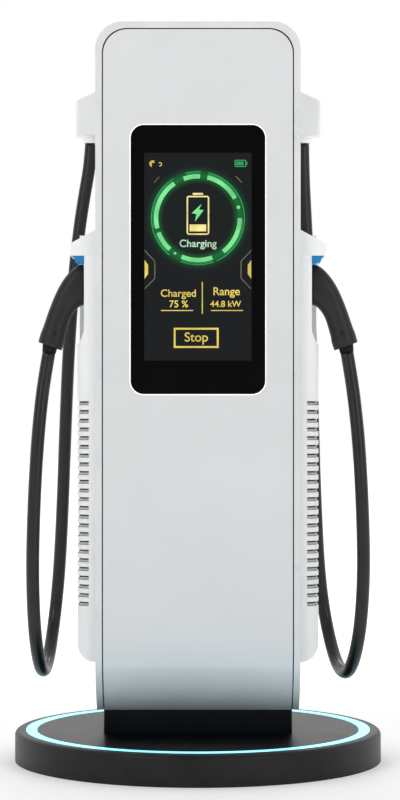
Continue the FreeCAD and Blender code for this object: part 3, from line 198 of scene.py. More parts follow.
def cable_sheath():
    """Extruded polyurethane sheath: black, slightly waxy, with fine lengthwise drawing lines."""
    material, tree, shader = surface("cable_sheath", "#111212", 0.34, specular=0.45)
    drawn = noise(tree, 6, 2, (1, 1, 0.08))
    bump(tree, shader, drawn.outputs["Fac"], 0.12, 0.15)
    vary(tree, shader, drawn.outputs["Fac"], 0.3, 0.4)
    cloud = noise(tree, 70, 2)
    tint(tree, shader, cloud.outputs["Fac"], "#0f1010", "#141515")
    return material


def soft_rubber():
    """EPDM seals, screw rims and cable sleeves: matte black."""
    material, tree, shader = surface("soft_rubber", "#0d0d0d", 0.72, specular=0.25)
    grain = noise(tree, 1.2, 2)
    bump(tree, shader, grain.outputs["Fac"], 0.06, 0.3)
    vary(tree, shader, grain.outputs["Fac"], 0.66, 0.8)
    return material


def display_glass():
    """Toughened glass printed black behind: jet black with a clear mirror gloss."""
    material, tree, shader = surface("display_glass", "#040405", 0.09, ior=1.52, specular=0.12)
    smear = noise(tree, 90, 3)
    vary(tree, shader, smear.outputs["Fac"], 0.07, 0.13)
    return material


def lit(name, colour, strength, base="#0a0a0a", falloff_mm=None):
    """A self-lit surface, with a slow drift in its brightness as from separate LEDs; the glass lip
    uses it for a painted highlight.
    """
    material, tree, shader = surface(name, base, 0.3, specular=0.1)
    shader.inputs["Emission Color"].default_value = linear(colour)
    shader.inputs["Emission Strength"].default_value = strength
    if falloff_mm:
        drift = noise(tree, falloff_mm, 1)
        vary(tree, shader, drift.outputs["Fac"], strength * 0.8, strength * 1.15,
             "Emission Strength")
    return material


def zinc_steel():
    """Zinc-plated steel: bright grey with a soft spangle."""
    material, tree, shader = surface("zinc_steel", "#a9adb0", 0.34, metallic=1.0)
    spangle = noise(tree, 9, 3)
    tint(tree, shader, spangle.outputs["Fac"], "#9fa3a6", "#b7babc")
    vary(tree, shader, spangle.outputs["Fac"], 0.28, 0.42)
    return material


def case_plastic(name, first, second):
    """Moulded polycarbonate device case."""
    material, tree, shader = surface(name, first, 0.5)
    cloud = noise(tree, 25, 2)
    tint(tree, shader, cloud.outputs["Fac"], first, second)
    vary(tree, shader, cloud.outputs["Fac"], 0.44, 0.56)
    return material


def filter_fibre():
    """Spun polyester filter mat: soft, grey-white and fully matte."""
    material, tree, shader = surface("filter_fibre", "#b9bab4", 0.95)
    fibre = noise(tree, 4, 4, (1, 1, 2.5))
    tint(tree, shader, fibre.outputs["Fac"], "#a7a8a2", "#c8c9c4")
    bump(tree, shader, fibre.outputs["Fac"], 1.0, 0.6)
    return material


def holster_blue():
    """Blue acrylic status light: tinted, glossy and gently lit from inside."""
    material, tree, shader = surface("holster_blue", "#0e6da2", 0.26, coat=0.2)
    shader.inputs["Emission Color"].default_value = linear("#1076b0")
    drift = noise(tree, 60, 1)
    vary(tree, shader, drift.outputs["Fac"], 0.22, 0.4, "Emission Strength")
    return material


MATERIALS = {}


def finish_for(name):
    """Make each material once, when a piece first asks for it."""
    makers = {
        "powder_coat_white": powder_coat_white, "painted_trim": painted_trim,
        "moulded_white": moulded_white, "lacquer_black": lacquer_black,
        "satin_black": satin_black, "glove_black": glove_black, "cable_sheath": cable_sheath,
        "soft_rubber": soft_rubber, "display_glass": display_glass, "zinc_steel": zinc_steel,
        "filter_fibre": filter_fibre, "holster_blue": holster_blue,
        "module_grey": lambda: case_plastic("module_grey", "#77797b", "#838587"),
        "device_dark": lambda: case_plastic("device_dark", "#3a3b3d", "#444547"),
        "device_green": lambda: case_plastic("device_green", "#4c7f5b", "#578a66"),
        "toggle_red": lambda: case_plastic("toggle_red", "#b02018", "#bc2a20"),
        "fan_black": lambda: case_plastic("fan_black", "#202122", "#292a2b"),
        "ring_light": lambda: lit("ring_light", "#78d2ea", 1.6, "#9adfe8", 220),
        # The glass lip glows white as a painted highlight, not as a lamp.
        "lip_painted_highlight": lambda: lit("lip_painted_highlight", "#ffffff", 0.45, "#f6f6f6", 200),
        "vent_grey": lambda: case_plastic("vent_grey", "#b4b6b8", "#bcbec0"),
        "screen_green": lambda: lit("screen_green", "#38b268", 0.95, falloff_mm=40),
        "screen_mint": lambda: lit("screen_mint", "#7be391", 1.0, falloff_mm=40),
        "screen_amber": lambda: lit("screen_amber", "#eed868", 0.95, falloff_mm=40),
        "screen_cream": lambda: lit("screen_cream", "#f8e89a", 1.0, falloff_mm=30),
        "screen_white": lambda: lit("screen_white", "#c8f2ce", 0.95, falloff_mm=30),
        "screen_grey": lambda: lit("screen_grey", "#8b8a6a", 0.9, falloff_mm=30),
    }
    if name not in MATERIALS:
        MATERIALS[name] = makers[name]()
    return MATERIALS[name]


def dress(obj, name):
    """Give a piece one material."""
    obj.data.materials.clear()
    obj.data.materials.append(finish_for(name))


# ---------------------------------------------------------------- mesh helpers
MM = 0.001
BAND_STEP = 3  # degrees of a curved band that one flat facet spans


def finish_mesh(name, mesh_data, material, body=None, smooth=True):
    """Turn a bmesh into a piece, which rides on a body if one is named."""
    bmesh.ops.recalc_face_normals(mesh_data, faces=mesh_data.faces)
    mesh = bpy.data.meshes.new(name)
    mesh_data.to_mesh(mesh)
    mesh_data.free()
    for face in mesh.polygons:
        face.use_smooth = smooth
    obj = bpy.data.objects.new(name, mesh)
    bpy.context.scene.collection.objects.link(obj)
    dress(obj, material)
    if body:
        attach(obj, body)
    return obj


def box_between(mesh_data, low, high, turn=None, about=None):
    """Add a box between two corners, optionally turned about a point."""
    low, high = Vector(low), Vector(high)
    size = high - low
    middle = (low + high) / 2
    matrix = Matrix.Translation(middle) @ Matrix.Diagonal((*size, 1))
    made = bmesh.ops.create_cube(mesh_data, size=1, matrix=matrix)
    if turn is not None:
        bmesh.ops.rotate(mesh_data, verts=made["verts"], cent=about or middle, matrix=turn)


def ring_band(mesh_data, centre, inner, outer, start, stop, depth):
    """Add a flat band in the XZ plane between two clock angles, in degrees from the top."""
    older = set(mesh_data.faces)
    angle = math.radians(start)
    across = Vector((math.sin(angle), 0, math.cos(angle)))
    first = mesh_data.verts.new(centre + across * inner)
    second = mesh_data.verts.new(centre + across * outer)
    edge = mesh_data.edges.new((first, second))
    steps = max(2, int(abs(stop - start) / BAND_STEP))
    bmesh.ops.spin(mesh_data, geom=[first, second, edge], cent=centre, axis=(0, 1, 0),
                   angle=math.radians(stop - start), steps=steps)
    strip = [face for face in mesh_data.faces if face not in older]
    raised = bmesh.ops.extrude_face_region(mesh_data, geom=strip)
    corners = [item for item in raised["geom"] if isinstance(item, bmesh.types.BMVert)]
    bmesh.ops.translate(mesh_data, verts=corners, vec=(0, -depth, 0))


def flat_shape(mesh_data, corners, depth):
    """Add a thin prism from its outline's corners, drawn facing -Y."""
    verts = [mesh_data.verts.new(corner) for corner in corners]
    face = mesh_data.faces.new(verts)
    raised = bmesh.ops.extrude_face_region(mesh_data, geom=[face])
    moved = [item for item in raised["geom"] if isinstance(item, bmesh.types.BMVert)]
    bmesh.ops.translate(mesh_data, verts=moved, vec=(0, -depth, 0))


# ---------------------------------------------------------------- settings
class ChargingPostSettings(bpy.types.PropertyGroup):
    """Sizes and colours that a user would change."""
    sheath_diameter: FloatProperty(
        name="Cable diameter", description="Outside diameter of the charging cables",
        default=0.033, unit="LENGTH")
    camera_distance: FloatProperty(
        name="Camera distance", description="From the post's axis to the camera",
        default=6.02, unit="LENGTH")
    camera_height: FloatProperty(
        name="Camera height", description="Height of the camera above the ground",
        default=0.913, unit="LENGTH")
    floor_shade: FloatVectorProperty(
        name="Floor", description="Colour of the plain floor", subtype="COLOR",
        default=(0.9, 0.9, 0.9), min=0, max=1)
    screen_lift: FloatProperty(
        name="Screen marks", description="How far the lit marks stand off the glass",
        default=0.0004, unit="LENGTH")
    grip_rings: IntProperty(
        name="Grip sides", description="Sides of each section of a connector's grip",
        default=32, min=12, max=96)


def settings():
    """The post's sizes in the open scene."""
    return bpy.context.scene.charging_post


# ---------------------------------------------------------------- camera and stage
SENSOR = 36             # mm
VIEW_HEIGHT = 2.04      # how much the camera sees, top to bottom, at the post's axis
CAMERA_ASIDE = 0.0051
FLOOR_SIZE = 30
FRONT_LIGHT = 0.27      # the studio is dim behind the camera and bright behind the post
BACK_LIGHT = 1.0
NEAR_GLOW = 0.2         # the floor glows, more so far away, so that it stays as pale as
FAR_GLOW = 0.6          # the light behind it
LAMPS = [
    ("key_left", (-3.2, -4.2, 3.2), (0, 0, 1.0), (2.6, 2.6), 70),
    ("fill_right", (3.4, -4.0, 2.6), (0, 0, 1.0), (2.6, 2.6), 53),
    ("rim_back", (0.0, 4.5, 3.6), (0, 0, 1.2), (3.0, 1.6), 50),
]
GLOW_COLOUR = (0.36, 0.78, 1.0)  # what the base's ring throws up at the chin
GLOW_POWER = 0.16
GLOW_SIZE = (0.5, 0.03)
GLOW_PLACE = (0, -0.424, 0.084)
GLOW_TILT = 155


def add_lamp(name, place, size, power):
    """A rectangular lamp, which is returned to be aimed or coloured."""
    lamp = bpy.data.lights.new(name, "AREA")
    lamp.shape = "RECTANGLE"
    lamp.size, lamp.size_y = size
    lamp.energy = power
    holder = bpy.data.objects.new(name, lamp)
    holder.location = place
    bpy.context.scene.collection.objects.link(holder)
    return holder


class POST_OT_stage(bpy.types.Operator):
    """Set the camera, a pale floor and soft studio light"""
    bl_idname = "charging_post.stage"
    bl_label = "Camera and Stage"

    def execute(self, context):
        scene = context.scene
        self.camera(scene, settings())
        self.floor(scene, settings())
        self.studio(scene)
        glow = add_lamp("ring_glow", GLOW_PLACE, GLOW_SIZE, GLOW_POWER)
        glow.data.color = GLOW_COLOUR
        glow.rotation_euler = (math.radians(GLOW_TILT), 0, 0)
        for name, place, aim, size, power in LAMPS:
            holder = add_lamp(name, place, size, power)
            way = Vector(aim) - Vector(place)
            holder.rotation_euler = way.to_track_quat("-Z", "Y").to_euler()
        return {"FINISHED"}

    def camera(self, scene, sizes):
        camera = bpy.data.cameras.new("camera")
        camera.sensor_fit = "VERTICAL"
        camera.sensor_height = SENSOR
        camera.lens = SENSOR * sizes.camera_distance / VIEW_HEIGHT
        eye = bpy.data.objects.new("camera", camera)
        eye.location = (CAMERA_ASIDE, -sizes.camera_distance, sizes.camera_height)
        eye.rotation_euler = (math.radians(90), 0, 0)
        scene.collection.objects.link(eye)
        scene.camera = eye

    def floor(self, scene, sizes):
        """A plain floor whose own glow rises with the distance from the post."""
        floor_mesh = bmesh.new()
        bmesh.ops.create_grid(floor_mesh, x_segments=2, y_segments=2, size=FLOOR_SIZE)
        mesh = bpy.data.meshes.new("floor")
        floor_mesh.to_mesh(mesh)
        floor_mesh.free()
        floor = bpy.data.objects.new("floor", mesh)
        scene.collection.objects.link(floor)
        material, tree, shader = surface("studio_floor", "#f6f6f6", 0.9, specular=0.1)
        shader.inputs["Base Color"].default_value = (*sizes.floor_shade, 1)
        shader.inputs["Emission Color"].default_value = (1, 1, 1, 1)
        place = add(tree, "ShaderNodeTexCoord")
        reach = add(tree, "ShaderNodeVectorMath", [(place.outputs["Object"], 0)],
                    operation="LENGTH")
        paling = add(tree, "ShaderNodeMapRange", [(reach.outputs["Value"], "Value")],
                     {"From Min": 1.0, "From Max": 4.0, "To Min": NEAR_GLOW,
                      "To Max": FAR_GLOW})
        tree.links.new(paling.outputs["Result"], shader.inputs["Emission Strength"])
        mesh.materials.append(material)

    def studio(self, scene):
        """White light all round, stronger behind the post than behind the camera."""
        world = bpy.data.worlds.new("studio")
        world.use_nodes = True
        sky = world.node_tree
        sky.nodes["Background"].inputs["Color"].default_value = (1, 1, 1, 1)
        way = add(sky, "ShaderNodeTexCoord")
        parts = add(sky, "ShaderNodeSeparateXYZ", [(way.outputs["Generated"], "Vector")])
        fade = add(sky, "ShaderNodeMapRange", [(parts.outputs["Y"], "Value")],
                   {"From Min": -0.35, "From Max": 0.25, "To Min": FRONT_LIGHT,
                    "To Max": BACK_LIGHT})
        sky.links.new(fade.outputs["Result"], sky.nodes["Background"].inputs["Strength"])
        scene.world = world
        scene.view_settings.view_transform = "Standard"


# ---------------------------------------------------------------- charging cables
# The routes of the cables from gland to connector, in metres.
CABLE_ROUTES = {
    "left": [(-.281, .195, 1.586), (-.285, .197, 1.530), (-.299, .202, 1.455),
             (-.315, .208, 1.352), (-.331, .212, 1.200), (-.343, .215, 1.020),
             (-.351, .216, .820), (-.358, .217, .620), (-.367, .216, .450), (-.380, .214, .324),
             (-.391, .112, .221), (-.398, -.032, .221), (-.407, -.134, .324),
             (-.413, -.136, .470), (-.410, -.133, .630), (-.402, -.128, .790),
             (-.392, -.121, .905), (-.3815, -.115, .9816), (-.3726, -.115, 1.0324)],
    "right": [(.276, .195, 1.586), (.277, .198, 1.530), (.280, .203, 1.455),
              (.286, .209, 1.352), (.293, .213, 1.200), (.299, .216, 1.020),
              (.304, .217, .820), (.311, .218, .620), (.320, .216, .450), (.338, .213, .320),
              (.362, .112, .216), (.384, -.032, .216), (.403, -.134, .320),
              (.414, -.136, .470), (.411, -.133, .630), (.403, -.128, .790),
              (.392, -.121, .905), (.3815, -.115, .9816), (.3726, -.115, 1.0324)],
}


def smooth_line(name, route):
    """The smooth curve that a route's points control, as a list of points."""
    curve = bpy.data.curves.new(name, "CURVE")
    curve.dimensions = "3D"
    curve.resolution_u = 10
    spline = curve.splines.new("NURBS")
    spline.points.add(len(route) - 1)
    for point, place in zip(spline.points, route):
        point.co = (*place, 1)
    spline.order_u = 3
    spline.use_endpoint_u = True
    holder = bpy.data.objects.new(name, curve)
    bpy.context.scene.collection.objects.link(holder)
    bpy.context.view_layer.update()
    mesh = bpy.data.meshes.new_from_object(holder)
    line = [vert.co.copy() for vert in mesh.vertices]
    bpy.data.objects.remove(holder)
    bpy.data.meshes.remove(mesh)
    return line


CABLE_SIDES = 28
SLEEVE_LENGTH = 22 * MM
SLEEVE_MOUTH = 0.7 * MM  # how much wider than the cable the sleeve is at its mouth
SLEEVE_SWELL = 3 * MM    # and at the grip


def tube_along(mesh_data, line, radius, sides):
    """Bridge circles along a line, each turned as little as possible from the last."""
    loops = []
    up = Vector((1, 0, 0))
    for index, place in enumerate(line):
        before = line[max(index - 1, 0)]
        after = line[min(index + 1, len(line) - 1)]
        way = (after - before).normalized()
        up = (up - way * up.dot(way)).normalized()
        turn = Matrix((up, way.cross(up), way)).transposed().to_4x4()
        made = bmesh.ops.create_circle(mesh_data, cap_ends=False, segments=sides, radius=radius,
                                       matrix=Matrix.Translation(place) @ turn)
        edges = {edge for vert in made["verts"] for edge in vert.link_edges}
        loops.append(list(edges))
    for first, second in zip(loops, loops[1:]):
        bmesh.ops.bridge_loops(mesh_data, edges=first + second)
    for loop in (loops[0], loops[-1]):
        bmesh.ops.holes_fill(mesh_data, edges=loop, sides=0)


class POST_OT_cables(bpy.types.Operator):
    """Hang a charging cable from each outlet round to its connector"""
    bl_idname = "charging_post.cables"
    bl_label = "Charging Cables"

    def execute(self, context):
        diameter = settings().sheath_diameter
        for side, route in CABLE_ROUTES.items():
            line = smooth_line(side + "_cable_line", route)
            mesh_data = bmesh.new()
            tube_along(mesh_data, line, diameter / 2, CABLE_SIDES)
            sheath = finish_mesh(side + "_cable_sheath", mesh_data, "cable_sheath")
            self.sleeve(side, Vector(route[-2]), Vector(route[-1]), diameter / 2)
            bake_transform(sheath)
            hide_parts(side + "_cable")
        return {"FINISHED"}

    def sleeve(self, side, before, end, radius):
        """The slim tapered strain relief between the cable's end and the grip."""
        way = (end - before).normalized()
        mesh_data = bmesh.new()
        bmesh.ops.create_cone(mesh_data, cap_ends=True, segments=32, radius1=radius + SLEEVE_MOUTH,
                              radius2=radius + SLEEVE_SWELL, depth=SLEEVE_LENGTH,
                              matrix=Matrix.Translation(end + way * SLEEVE_LENGTH / 2)
                              @ way.to_track_quat("Z", "Y").to_matrix().to_4x4())
        piece = finish_mesh(side + "_cable_sleeve", mesh_data, "soft_rubber",
                            side + "_connector")
        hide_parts(side + "_cable_boot")


# ---------------------------------------------------------------- connectors
# The grip's sections: out from the plug's seat, up from its middle, tilt in
# degrees, half height, half width and how square it is, in mm.
GRIP_SECTIONS = [
    (2.0, 0, 0, 50, 33, 3.2), (4.0, 0, 0, 51.0, 34, 3.2), (18, -2, 5, 51, 34.5, 3.0),
    (33, -17, 15, 45.5, 34, 2.8), (47, -36, 25, 39.5, 32.5, 2.6),
    (58, -59, 36, 34.5, 31, 2.4), (67, -84, 50, 31.5, 30, 2.3), (74, -106, 63, 30, 29.5, 2.2),
    (79, -122, 68, 30.2, 29.8, 2.1), (81, -129.5, 70, 32.0, 31.4, 2.0),
    (86, -146.5, 70, 31.6, 31, 2.0), (88.3, -153.5, 70, 31.2, 30.6, 2.0),
    (88.6, -154.4, 70, 29.4, 29, 2.0), (87.4, -151, 70, 25, 25, 2.0)]

SCREW_SECTION = (75, -122, 68)  # out, up and tilt of the section that the screw sits in
SCREW_REACH = 29.6  # from the grip's middle plane to the screw's rim, mm
SCREW_INNER = 3.4
SCREW_OUTER = 5.2
SCREW_RISE = 0.8


def oval_loop(mesh_data, centre, up, across, tall, wide, squareness, sides):
    """A rounded section: a circle pushed out towards its corners."""
    made = bmesh.ops.create_circle(mesh_data, cap_ends=False, segments=sides, radius=1)
    for vert in made["verts"]:
        angle = math.atan2(vert.co.y, vert.co.x)
        rise, reach = math.cos(angle), math.sin(angle)
        power = 2 / squareness
        rise = math.copysign(abs(rise) ** power, rise)
        reach = math.copysign(abs(reach) ** power, reach)
        vert.co = centre + up * rise * tall + across * reach * wide
    return list({edge for vert in made["verts"] for edge in vert.link_edges})


def grip_frame(side, out, rise, tilt):
    """Centre and up direction of a grip's section, in metres."""
    sign = SIDES[side]
    low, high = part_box(side + "_connector_nose")
    seat = Vector((sign * (max(abs(low.x), abs(high.x)) - MM), (low.y + high.y) / 2,
                   (low.z + high.z) / 2))
    angle = math.radians(tilt)
    centre = seat + Vector((sign * out, 0, rise)) * MM
    up = Vector((sign * math.sin(angle), 0, math.cos(angle)))
    return centre, up


class POST_OT_grips(bpy.types.Operator):
    """Shape each connector's bent grip, with its collar and screw rim"""
    bl_idname = "charging_post.grips"
    bl_label = "Connector Grips"

    def execute(self, context):
        for side in SIDES:
            self.shell(side)
            self.screw_rim(side)
        return {"FINISHED"}

    def shell(self, side):
        mesh_data = bmesh.new()
        loops = []
        for out, rise, tilt, tall, wide, squareness in GRIP_SECTIONS:
            centre, up = grip_frame(side, out, rise, tilt)
            loops.append(oval_loop(mesh_data, centre, up, Vector((0, 1, 0)), tall * MM,
                                   wide * MM, squareness, settings().grip_rings))
        for first, second in zip(loops, loops[1:]):
            bmesh.ops.bridge_loops(mesh_data, edges=first + second)
        for loop in (loops[0], loops[-1]):
            bmesh.ops.holes_fill(mesh_data, edges=loop, sides=0)
        grip = finish_mesh(side + "_grip_shell", mesh_data, "glove_black", side + "_connector")
        rounder = grip.modifiers.new("rounder", "SUBSURF")
        rounder.levels = rounder.render_levels = 2
        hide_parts(side + "_connector_grip")

    def screw_rim(self, side):
        """The raised rim round the case screw, near the grip's lower end."""
        mesh_data = bmesh.new()
        centre, up = grip_frame(side, *SCREW_SECTION)
        rim = centre + Vector((0, -SCREW_REACH, 0)) * MM
        ring_band(mesh_data, rim, SCREW_INNER * MM, SCREW_OUTER * MM, 0, 360, SCREW_RISE * MM)
        bmesh.ops.remove_doubles(mesh_data, verts=mesh_data.verts, dist=MM / 100)
        screw = finish_mesh(side + "_grip_screw", mesh_data, "soft_rubber", side + "_connector",
                            smooth=False)


# ---------------------------------------------------------------- side vents
SLOT_COUNT = 24
SLOT_PITCH = 21.6
SLOT_TOP = 905
SLOT_HEIGHT = 10
BLADE_HEIGHT = 6.4   # how much of each slot its blade fills, from below
BLADE_SINK = 6       # how far the blades stand behind the cover's face
BLADE_THICK = 2
BLADE_BACK = 116     # how far behind the cover's face the blades end
CORNER_ROUND = 42


class POST_OT_vents(bpy.types.Operator):
    """Set a drip blade behind each cooling slot of the side covers"""
    bl_idname = "charging_post.vents"
    bl_label = "Vent Blades"

    def execute(self, context):
        for side, sign in SIDES.items():
            low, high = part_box(side + "_wing_cover")
            reach = max(abs(low.x), abs(high.x)) / MM
            front = low.y / MM
            mesh_data = bmesh.new()
            self.blade(mesh_data, reach, front)
            first = mesh_data.verts[:] + mesh_data.edges[:] + mesh_data.faces[:]
            for index in range(1, SLOT_COUNT):
                copied = bmesh.ops.duplicate(mesh_data, geom=first)["geom"]
                verts = [item for item in copied if isinstance(item, bmesh.types.BMVert)]
                bmesh.ops.translate(mesh_data, verts=verts, vec=(0, 0, -index * SLOT_PITCH))
            bmesh.ops.scale(mesh_data, verts=mesh_data.verts, vec=(sign * MM, MM, MM))
            blades = finish_mesh(side + "_vent_blades", mesh_data, "vent_grey", "root")
        return {"FINISHED"}

    def blade(self, mesh_data, reach, front):
        """The top slot's band, in mm, round the cover's corner just behind its face."""
        foot = SLOT_TOP - SLOT_HEIGHT / 2
        hub = Vector((reach - CORNER_ROUND, front + CORNER_ROUND, foot))
        radius = CORNER_ROUND - BLADE_SINK
        start = mesh_data.verts.new((hub.x, hub.y - radius, foot))
        bend = bmesh.ops.spin(mesh_data, geom=[start], cent=hub, axis=(0, 0, 1),
                              angle=math.radians(90), steps=6)
        end = next(item for item in bend["geom_last"] if isinstance(item, bmesh.types.BMVert))
        tail = mesh_data.verts.new((end.co.x, front + BLADE_BACK, foot))
        mesh_data.edges.new((end, tail))
        raised = bmesh.ops.extrude_edge_only(mesh_data, edges=mesh_data.edges)
        top = [item for item in raised["geom"] if isinstance(item, bmesh.types.BMVert)]
        bmesh.ops.translate(mesh_data, verts=top, vec=(0, 0, BLADE_HEIGHT))
        bmesh.ops.solidify(mesh_data, geom=mesh_data.faces, thickness=BLADE_THICK)


# ---------------------------------------------------------------- door seal
SEAL_HALF = 236.2       # the strip's outer edge, inside the frame's opening
SEAL_WIDTH = 2.4
SEAL_FOOT = 330
SEAL_CROWN = 1767       # where the strip's round corners start
SEAL_ROUND = 60.7
SEAL_FACE = 3.0         # how far the strip stands behind the door's face
SEAL_DEPTH = 4
HINGE_PLACES = [(380, 461), (1258.5, 1339.5), (1636, 1717)]  # the strip stops for these
HINGE_SPACE = 2


class POST_OT_seal(bpy.types.Operator):
    """Run the black sealing strip round the gap of the front door"""
    bl_idname = "charging_post.seal"
    bl_label = "Door Seal"

    def execute(self, context):
        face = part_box("front_trim")[0].y / MM + SEAL_FACE
        mesh_data = bmesh.new()
        inner = SEAL_HALF - SEAL_WIDTH
        top = SEAL_CROWN + SEAL_ROUND
        self.strip(mesh_data, (inner, face, SEAL_FOOT), (SEAL_HALF, SEAL_CROWN))
        foot = SEAL_FOOT
        for low, high in HINGE_PLACES + [(SEAL_CROWN, SEAL_CROWN)]:
            self.strip(mesh_data, (-SEAL_HALF, face, foot), (-inner, low - HINGE_SPACE))
            foot = high + HINGE_SPACE
        hub = SEAL_HALF - SEAL_ROUND
        self.strip(mesh_data, (-hub, face, top - SEAL_WIDTH), (hub, top))
        for side, start in ((-1, 270), (1, 0)):
            centre = Vector((side * hub, face + SEAL_DEPTH, SEAL_CROWN)) * MM
            ring_band(mesh_data, centre, (SEAL_ROUND - SEAL_WIDTH) * MM, SEAL_ROUND * MM,
                      start, start + 90, SEAL_DEPTH * MM)
        strip = finish_mesh("door_seal_strip", mesh_data, "soft_rubber", "root", smooth=False)
        return {"FINISHED"}

    def strip(self, mesh_data, low, high):
        """One straight run, from its low corner to its far side and height."""
        box_between(mesh_data, Vector(low) * MM,
                    Vector((high[0], low[1] + SEAL_DEPTH, high[1])) * MM)


# ---------------------------------------------------------------- screen
def screen_middle():
    """The middle of the display on the glass's outer face."""
    low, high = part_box("screen_glass")
    shown_low, shown_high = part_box("display_module")
    return Vector((0, low.y, (shown_low.z + shown_high.z) / 2))


def screen_piece(name, material, build):
    """A group of lit marks, drawn by its own function from the screen's middle."""
    mesh_data = bmesh.new()
    build(mesh_data, screen_middle() - Vector((0, settings().screen_lift * 0.25, 0)))
    piece = finish_mesh(name, mesh_data, material, "front_door", smooth=False)
    return piece


def mark(middle, x, z):
    """A place on the screen, in mm from its middle."""
    return middle + Vector((x, 0, z)) * MM


RING_RISE = 94.5    # the charging ring's middle above the screen's, mm
MARK_DEPTH = 0.35 * MM


def bar(mesh_data, middle, x_low, z_low, x_high, z_high):
    """An upright or level bar between two corners, in mm from the screen's middle."""
    low = mark(middle, x_low, z_low) - Vector((0, MARK_DEPTH, 0))
    box_between(mesh_data, low, mark(middle, x_high, z_high))


def frame_marks(mesh_data, middle, x_low, z_low, x_high, z_high, stroke):
    """Four bars round a rectangle."""
    bar(mesh_data, middle, x_low, z_low, x_high, z_low + stroke)
    bar(mesh_data, middle, x_low, z_high - stroke, x_high, z_high)
    bar(mesh_data, middle, x_low, z_low + stroke, x_low + stroke, z_high - stroke)
    bar(mesh_data, middle, x_high - stroke, z_low + stroke, x_high, z_high - stroke)


def round_frame(mesh_data, middle, half, low, high, corner, stroke):
    """A rectangle's outline with round corners, as four bars and four bands."""
    bar(mesh_data, middle, -half + corner, low, half - corner, low + stroke)
    bar(mesh_data, middle, -half + corner, high - stroke, half - corner, high)
    bar(mesh_data, middle, -half, low + corner, -half + stroke, high - corner)
    bar(mesh_data, middle, half - stroke, low + corner, half, high - corner)
    for x, z, start in ((half, high, 0), (half, low, 90), (-half, low, 180), (-half, high, 270)):
        hub = mark(middle, math.copysign(half - corner, x),
                   low + corner if z == low else high - corner)
        ring_band(mesh_data, hub, (corner - stroke) * MM, corner * MM, start, start + 90,
                  MARK_DEPTH)


def stroke_line(mesh_data, middle, points, width):
    """Thin bars along a bent line."""
    for (x_one, z_one), (x_two, z_two) in zip(points, points[1:]):
        way = Vector((x_two - x_one, 0, z_two - z_one))
        side = Vector((-way.z, 0, way.x)).normalized() * width / 2
        one, two = Vector((x_one, 0, z_one)), Vector((x_two, 0, z_two))
        corners = [one - side, two - side, two + side, one + side]
        flat_shape(mesh_data, [middle + corner * MM for corner in corners], MARK_DEPTH)


THICK_ARCS = [(-20, 3), (13, 62), (90, 143), (160, 203), (222, 250), (256, 326)]
THIN_ARCS = [(-16, 4), (13, 156), (160, 202), (218, 328)]
HAIR_ARCS = [(-14, 2), (14, 60), (92, 141), (162, 201), (224, 248), (258, 324)]
TICK_ARCS = [(-51, -43), (42, 51)]
THICK_BAND = (97.5 * MM, 108.3 * MM)
HAIR_BAND = (110.0 * MM, 111.2 * MM)
THIN_BAND = (113.4 * MM, 115.2 * MM)
TICK_BAND = (138 * MM, 139.6 * MM)
DOTS = [(75, 4.4), (213, 3.2)]  # clock angle, and radius in mm
DOT_REACH = 103 * MM
BOLT = [(9.4, 35.2), (-15.4, 12.3), (-3.5, 10.3), (-7.5, -8.6), (14.4, 19.7), (2.4, 21.3)]


def ring_marks(mesh_data, middle):
    """The ring's fine outer lines and the status battery."""
    hub = mark(middle, 0, RING_RISE)
    for start, stop in THIN_ARCS:
        ring_band(mesh_data, hub, *THIN_BAND, start, stop, MARK_DEPTH)
    for start, stop in HAIR_ARCS:
        ring_band(mesh_data, hub, *HAIR_BAND, start, stop, MARK_DEPTH)
    round_frame(mesh_data, mark(middle, 104.5, 0), 14.5, 220.5, 238, 4, 2.6)
    bar(mesh_data, middle, 119, 226, 121.5, 233)
    bar(mesh_data, middle, 94.5, 225, 112, 233.5)


def ring_cores(mesh_data, middle):
    """The ring's bright arcs and dots, and the bolt on the battery."""
    hub = mark(middle, 0, RING_RISE)
    for start, stop in THICK_ARCS:
        ring_band(mesh_data, hub, *THICK_BAND, start, stop, MARK_DEPTH)
    for angle, size in DOTS:
        place = hub + Vector((math.sin(math.radians(angle)), 0,
                              math.cos(math.radians(angle)))) * DOT_REACH
        bmesh.ops.create_cone(mesh_data, cap_ends=True, segments=20, radius1=size * MM,
                              radius2=size * MM, depth=2 * MARK_DEPTH,
                              matrix=Matrix.Translation(place)
                              @ Matrix.Rotation(math.radians(90), 4, "X"))
    flat_shape(mesh_data, [mark(hub, x, z) for x, z in BOLT], MARK_DEPTH)


def battery_marks(mesh_data, middle):
    """The battery in the ring: its case, its cap and its charge."""
    hub = mark(middle, 0, RING_RISE)
    round_frame(mesh_data, hub, 27.8, -41, 55, 6, 3.6)
    bar(mesh_data, hub, -12.6, 57.4, 12.6, 62.0)
    bar(mesh_data, hub, -20.4, -32.4, 20.4, -15.5)


def amber_marks(mesh_data, middle):
    """The stop button, divider, underlines and edge tabs."""
    frame_marks(mesh_data, middle, -59.5, -224.5, 51, -175, 4.6)
    bar(mesh_data, middle, 9.6, -140.5, 12, -62.5)
    for low, high in ((-90.5, -12), (32, 110.5)):
        bar(mesh_data, middle, low, -133.6, high, -131.4)
    for sign in (-1, 1):
        tab = [(-131, -8.5), (-122.5, -20.5), (-122.5, -42.5), (-131, -54.5)]
        corners = [mark(middle, sign * -x, z) for x, z in tab]
        flat_shape(mesh_data, corners if sign > 0 else corners[::-1], MARK_DEPTH)


def tan_marks(mesh_data, middle):
    """Thin bent lines round the edge tabs, and the short arcs above the ring."""
    for sign in (-1, 1):
        line = [(-131, 15.5), (-106, -11.5), (-106, -53.5), (-130, -78.5)]
        stroke_line(mesh_data, middle, [(sign * -x, z) for x, z in line], 1.6)
    hub = mark(middle, 0, RING_RISE)
    for start, stop in TICK_ARCS:
        ring_band(mesh_data, hub, *TICK_BAND, start, stop, MARK_DEPTH)


